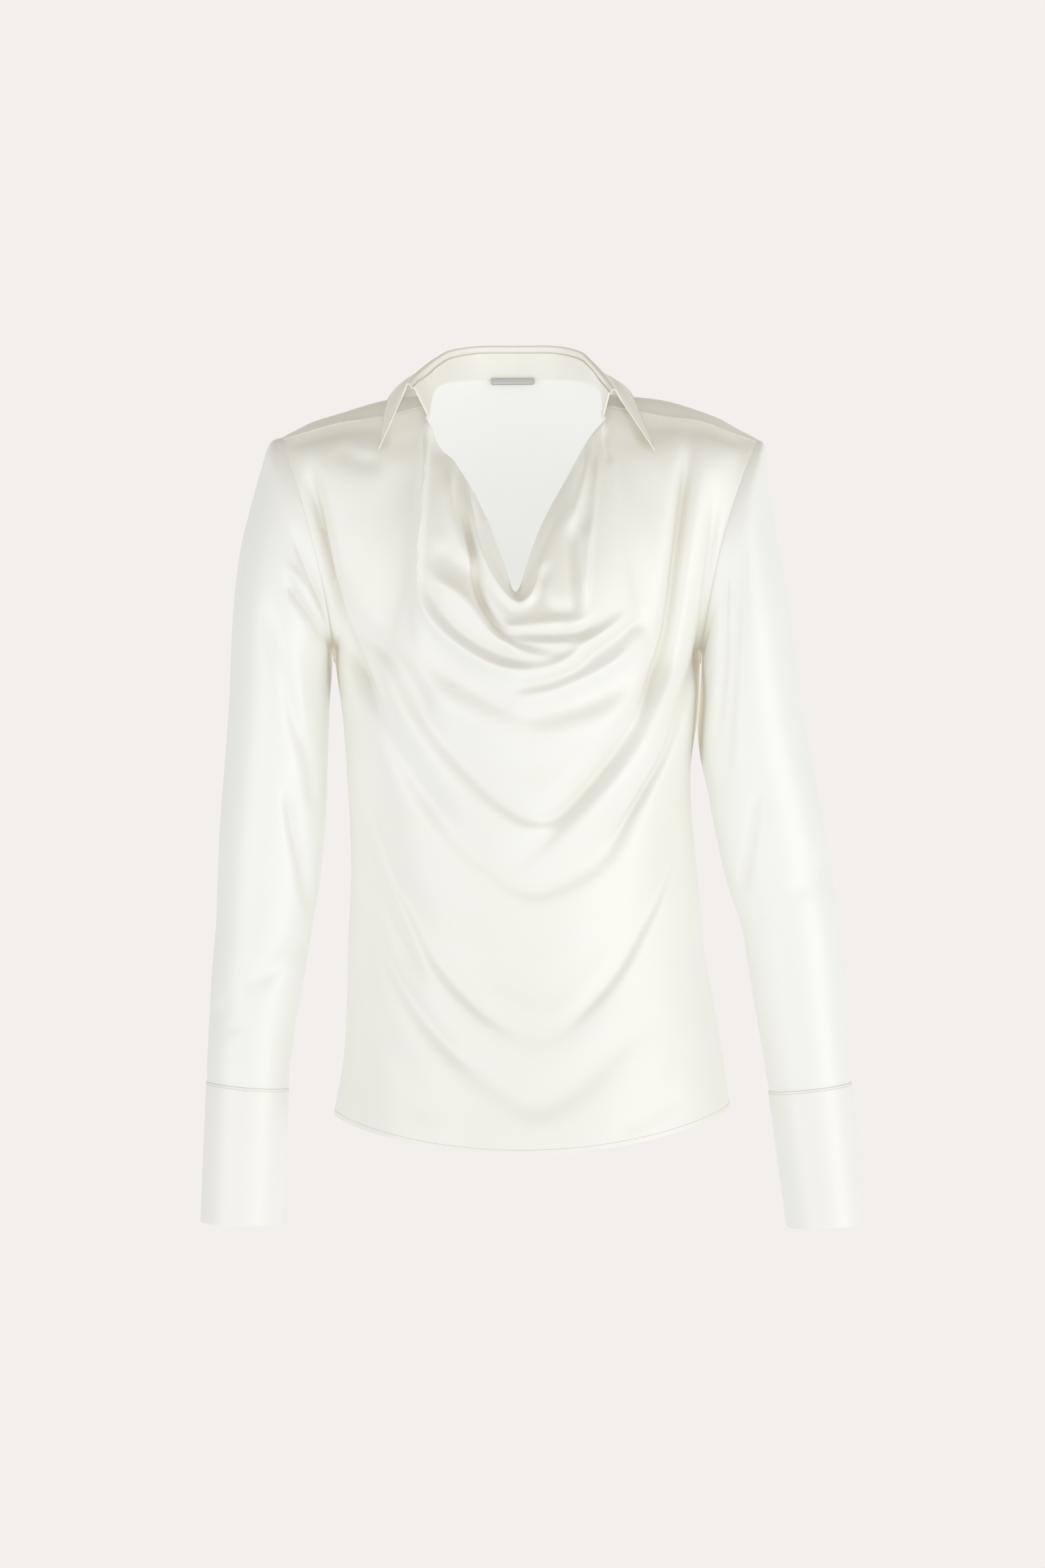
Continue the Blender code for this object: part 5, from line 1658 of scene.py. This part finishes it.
def stitch_points(a, b, normal):
    """Rings of points round one bead of thread from a to b."""
    along = unit(b - a)
    across = unit(np.cross(along, normal))
    centre = (a + b) / 2 + normal * STITCH_RADIUS * STITCH_RAISED
    points = []
    for place, size in STITCH_PROFILE:
        for side in range(STITCH_SIDES):
            turn = 2 * math.pi * side / STITCH_SIDES
            ring = across * math.cos(turn) + normal * math.sin(turn)
            points.append(centre + along * place * STITCH_LENGTH + ring * STITCH_RADIUS * size)
    return points


def stitch_faces(start):
    """Faces of the bead whose points are numbered from start."""
    faces = []
    last = start + (len(STITCH_PROFILE) - 1) * STITCH_SIDES
    for ring in range(start, last, STITCH_SIDES):
        for side in range(STITCH_SIDES):
            a = ring + side
            b = ring + (side + 1) % STITCH_SIDES
            faces.append((a, b, b + STITCH_SIDES, a + STITCH_SIDES))
    faces.append(tuple(reversed(range(start, start + STITCH_SIDES))))
    faces.append(tuple(range(last, last + STITCH_SIDES)))
    return faces


def add_stitches(name, lines):
    """Beads of thread along lines of (points, normals), as one piece."""
    points = []
    faces = []
    for line, normals in lines:
        knots = lengths_along(line)
        keep = np.concatenate([[True], np.diff(knots) > SHORTEST_STEP])
        count = int(knots[-1] / STITCH_PITCH)
        for middle in (np.arange(count) + 0.5) * knots[-1] / count:
            ends = [middle - STITCH_LENGTH / 2, middle + STITCH_LENGTH / 2]
            a, b = curve(knots[keep], line[keep], ends)
            normal = unit(curve(knots[keep], normals[keep], middle))
            faces += stitch_faces(len(points))
            points += stitch_points(a, b, normal)
    mesh = bpy.data.meshes.new(name)
    mesh.from_pydata((np.array(points) * MM).tolist(), [], faces)
    mesh.shade_smooth()
    mesh.materials.append(THREAD)
    return add_piece(name, mesh)


def at_distance(grid, normals, axis, distance, backwards=False):
    """The line on a grid that lies at a distance from its first or last row or column."""
    if axis == 1:
        grid, normals = grid.swapaxes(0, 1), normals.swapaxes(0, 1)
    if backwards:
        grid, normals = grid[::-1], normals[::-1]
    along = distance_along(grid, 0)
    line = []
    directions = []
    for j in range(grid.shape[1]):
        i = int(np.searchsorted(along[:, j], distance))
        i = min(max(i, 1), len(grid) - 1)
        f = (distance - along[i - 1, j]) / (along[i, j] - along[i - 1, j])
        line.append(grid[i - 1, j] + (grid[i, j] - grid[i - 1, j]) * f)
        directions.append(normals[i, j])
    return np.array(line), np.array(directions)


print("stitches in 10 cm:", int(100 / STITCH_PITCH))

# %% [markdown]
# ## Lines of stitching
# Stitches show along the hem, beside the shoulder seams, round the collar's edges, along
# the top of the stand and at the top of each cuff. Each line lies at a fixed distance from
# an edge, just as a presser foot guides it.

# %% Lines of stitching
SHOULDER_STITCH_UP = 3.0
SHOULDER_STITCH_END = 0.995
STAND_STITCH_DOWN = 1.4
FRONT_STITCH_START = 18
FRONT_STITCH_ROWS_LEFT = 3
CUFF_STITCH_DOWN = 1.8

hem_lines = []
for face, normals in ((front_face, front_normals), (back_face, back_normals)):
    hem_lines.append(at_distance(face, normals, 0, HEM_DEPTH))
hem_stitches = add_stitches("hem_stitching", hem_lines)

line, directions = at_distance(back_face, back_normals, 0, SHOULDER_STITCH_UP, backwards=True)
on_shoulder = (PANEL_U > BACK_NECK_COLUMN) & (PANEL_U < SHOULDER_STITCH_END)
shoulder_lines = []
for side in (RIGHT, LEFT):
    chosen = on_shoulder & (np.sign(line[:, 0]) == side)
    shoulder_lines.append((line[chosen], directions[chosen]))
shoulder_stitches = add_stitches("shoulder_stitching", shoulder_lines)

collar_lines = [at_distance(fall_face, fall_normals, 0, EDGE_STITCH_IN, backwards=True)]
start = np.searchsorted(distance_along(fall_face, 0)[:, 0], FRONT_STITCH_START)
for backwards in (False, True):
    line, directions = at_distance(fall_face, fall_normals, 1, EDGE_STITCH_IN, backwards)
    kept = slice(start, -FRONT_STITCH_ROWS_LEFT)
    collar_lines.append((line[kept], directions[kept]))
stand_normals = normals_of(stand_face, False, -1)
collar_lines.append(at_distance(stand_face, stand_normals, 0, STAND_STITCH_DOWN, backwards=True))
collar_stitches = add_stitches("collar_stitching", collar_lines)

cuff_stitches = {}
for word, side in SIDES.items():
    face = cuffs[word][1]
    line, directions = at_distance(face, normals_of(face, True, side), 0, CUFF_STITCH_DOWN)
    closed = np.concatenate([line, line[:1]]), np.concatenate([directions, directions[:1]])
    cuff_stitches[word] = add_stitches(f"cuff_{word}_stitching", [closed])

# %% [markdown]
# ## Light from around
# White satin is lit by what it faces. Here pale walls stand all round, and little comes from
# above. So each ridge is bright on top, both of its flanks are darker, and the shoulders and
# collar darken where they face up. The light leans a little to one side, and the walls at
# the far sides are a little darker, which keeps the sleeves round. The eye sees plain pale
# paper behind, whatever lights the cloth. A panorama of a studio could do the same, but
# a few nodes are enough and can be read.

# %% Light from around
PAPER = "#F3EFEC"
LIGHT_FROM_BELOW = "#F2F2F2"
LIGHT_FROM_AROUND = "#FFFFFF"
LIGHT_FROM_ABOVE = "#A39B88"
LIGHT_STOPS = ((0.5, LIGHT_FROM_AROUND), (0.66, LIGHT_FROM_AROUND), (0.84, LIGHT_FROM_ABOVE))
CLOTH_LIGHT = 0.95
SIDES_DARKER = 0.12
LIGHT_LEAN = (0.10, -0.08, 0.0)

scene = bpy.context.scene
scene.view_settings.view_transform = "Standard"
scene.view_settings.look = "None"
scene.world = bpy.data.worlds.new("studio")
scene.world.use_nodes = True
sky = scene.world.node_tree
background = sky.nodes["Background"]

way = add_node(sky, "TexCoord", {}).outputs["Generated"]
parts = add_node(sky, "SeparateXYZ", {0: way})
height = add_node(sky, "MapRange", {0: parts.outputs[2], 1: -1.0, 2: 1.0, 3: 0.0, 4: 1.0})
shades = add_node(sky, "ValToRGB", {0: height.outputs[0]})
ramp = shades.color_ramp
ramp.elements[0].color = linear(LIGHT_FROM_BELOW)
ramp.elements[1].color = linear(LIGHT_FROM_ABOVE)
for place, shade in LIGHT_STOPS:
    ramp.elements.new(place).color = linear(shade)
by_eye = add_node(sky, "LightPath", {}).outputs["Is Camera Ray"]
seen = {0: by_eye, 6: shades.outputs[0], 7: linear(PAPER)}
backdrop = add_node(sky, "Mix", seen, data_type="RGBA")
sky.links.new(backdrop.outputs[2], background.inputs[0])

lean = add_node(sky, "VectorMath", {0: way, 1: LIGHT_LEAN}, operation="DOT_PRODUCT")
aside = add_node(sky, "Math", {0: parts.outputs[0], 1: parts.outputs[0]}, operation="MULTIPLY")
evened = {0: aside.outputs[0], 1: -SIDES_DARKER, 2: CLOTH_LIGHT}
even = add_node(sky, "Math", evened, operation="MULTIPLY_ADD")
uneven = add_node(sky, "Math", {0: lean.outputs["Value"], 1: even.outputs[0]}, operation="ADD")
brightness = add_node(sky, "MapRange", {0: by_eye, 3: uneven.outputs[0], 4: 1.0})
sky.links.new(brightness.outputs[0], background.inputs[1])
print("shades from below to above:", len(ramp.elements))

# %% [markdown]
# ## Paper floor
# A sheet of pale paper lies well below the blouse. It is part of the stage and not of the
# blouse, gives off the backdrop's own colour, and throws no light or reflection on the
# silk, so it can't be told from the backdrop.

# %% Paper floor
FLOOR_DROP = 1.45
FLOOR_SIZE = 30

floor_material, floor_tree = new_material("pale paper floor")
paper = add_node(floor_tree, "Emission", {"Color": linear(PAPER)})
add_node(floor_tree, "OutputMaterial", {"Surface": paper.outputs[0]})
bpy.ops.mesh.primitive_plane_add(size=FLOOR_SIZE, location=(0, 0, -FLOOR_DROP))
floor = bpy.context.active_object
floor.name = "floor"
floor.data.materials.append(floor_material)
floor.visible_diffuse = False
floor.visible_glossy = False
floor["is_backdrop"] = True
print("floor below the shoulders (m):", FLOOR_DROP)

# %% [markdown]
# ## Soft lamps
# Two large soft lamps, one on each side and no higher than the shoulders, add a weak
# highlight along the folds. Their size keeps every shadow soft.

# %% Soft lamps
AIM = (0.0, 0.0, -0.35)
LAMP_WIDTH = 2.2
LAMP_HEIGHT = 1.6
LAMPS = {"key": ((2.3, -1.7, -0.2), 6), "fill": ((-2.2, -1.9, -0.3), 5)}

for name, (place, power) in LAMPS.items():
    data = bpy.data.lights.new(name, "AREA")
    data.shape = "RECTANGLE"
    data.size = LAMP_WIDTH
    data.size_y = LAMP_HEIGHT
    data.energy = power
    lamp = bpy.data.objects.new(name, data)
    scene.collection.objects.link(lamp)
    lamp.location = place
    lamp.rotation_euler = (Vector(AIM) - Vector(place)).to_track_quat("-Z", "Y").to_euler()
print("lamps:", ", ".join(LAMPS))

# %% [markdown]
# ## Hand over
# Every piece rides on the one body and stands for its plain solid, which is hidden. The table
# also gives the finish each takes and how large a sheet it was cut from. Lines of stitches go
# with the cloth that they are sewn to. One table and one loop say it all, so no piece can be forgotten.

# %% Ride and replace
Cut = namedtuple("Cut", "piece node slot width length area extras")
CUTS = [
    Cut(front_piece, "front", "front_satin", 0.52, 0.72, 0.25, []),
    Cut(back_piece, "back", "back_satin", 0.46, 0.70, 0.26, [hem_stitches, shoulder_stitches]),
    Cut(sleeves["right"][0], "sleeve_right", "sleeve_satin", 0.36, 0.56, 0.135, []),
    Cut(sleeves["left"][0], "sleeve_left", "sleeve_satin", 0.36, 0.56, 0.135, []),
    Cut(cuffs["right"][0], "cuff_right", "cuff_satin", 0.225, 0.115, None, [cuff_stitches["right"]]),
    Cut(cuffs["left"][0], "cuff_left", "cuff_satin", 0.225, 0.115, None, [cuff_stitches["left"]]),
    Cut(stand_piece, "collar_stand", "collar_satin", 0.29, 0.022, None, []),
    Cut(fall_piece, "collar_fall", "collar_satin", 0.46, 0.066, 0.022, [collar_stitches]),
]
for cut in CUTS:
    for piece in [cut.piece, *cut.extras]:
        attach(piece, "root")
    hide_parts(cut.node)
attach(label_piece, "root")
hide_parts("label")

low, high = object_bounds()
grown = [round((a - b) * 1000, 1) for a, b in zip(high - low, solid_high - solid_low)]
print("larger than the solids by (mm):", grown)
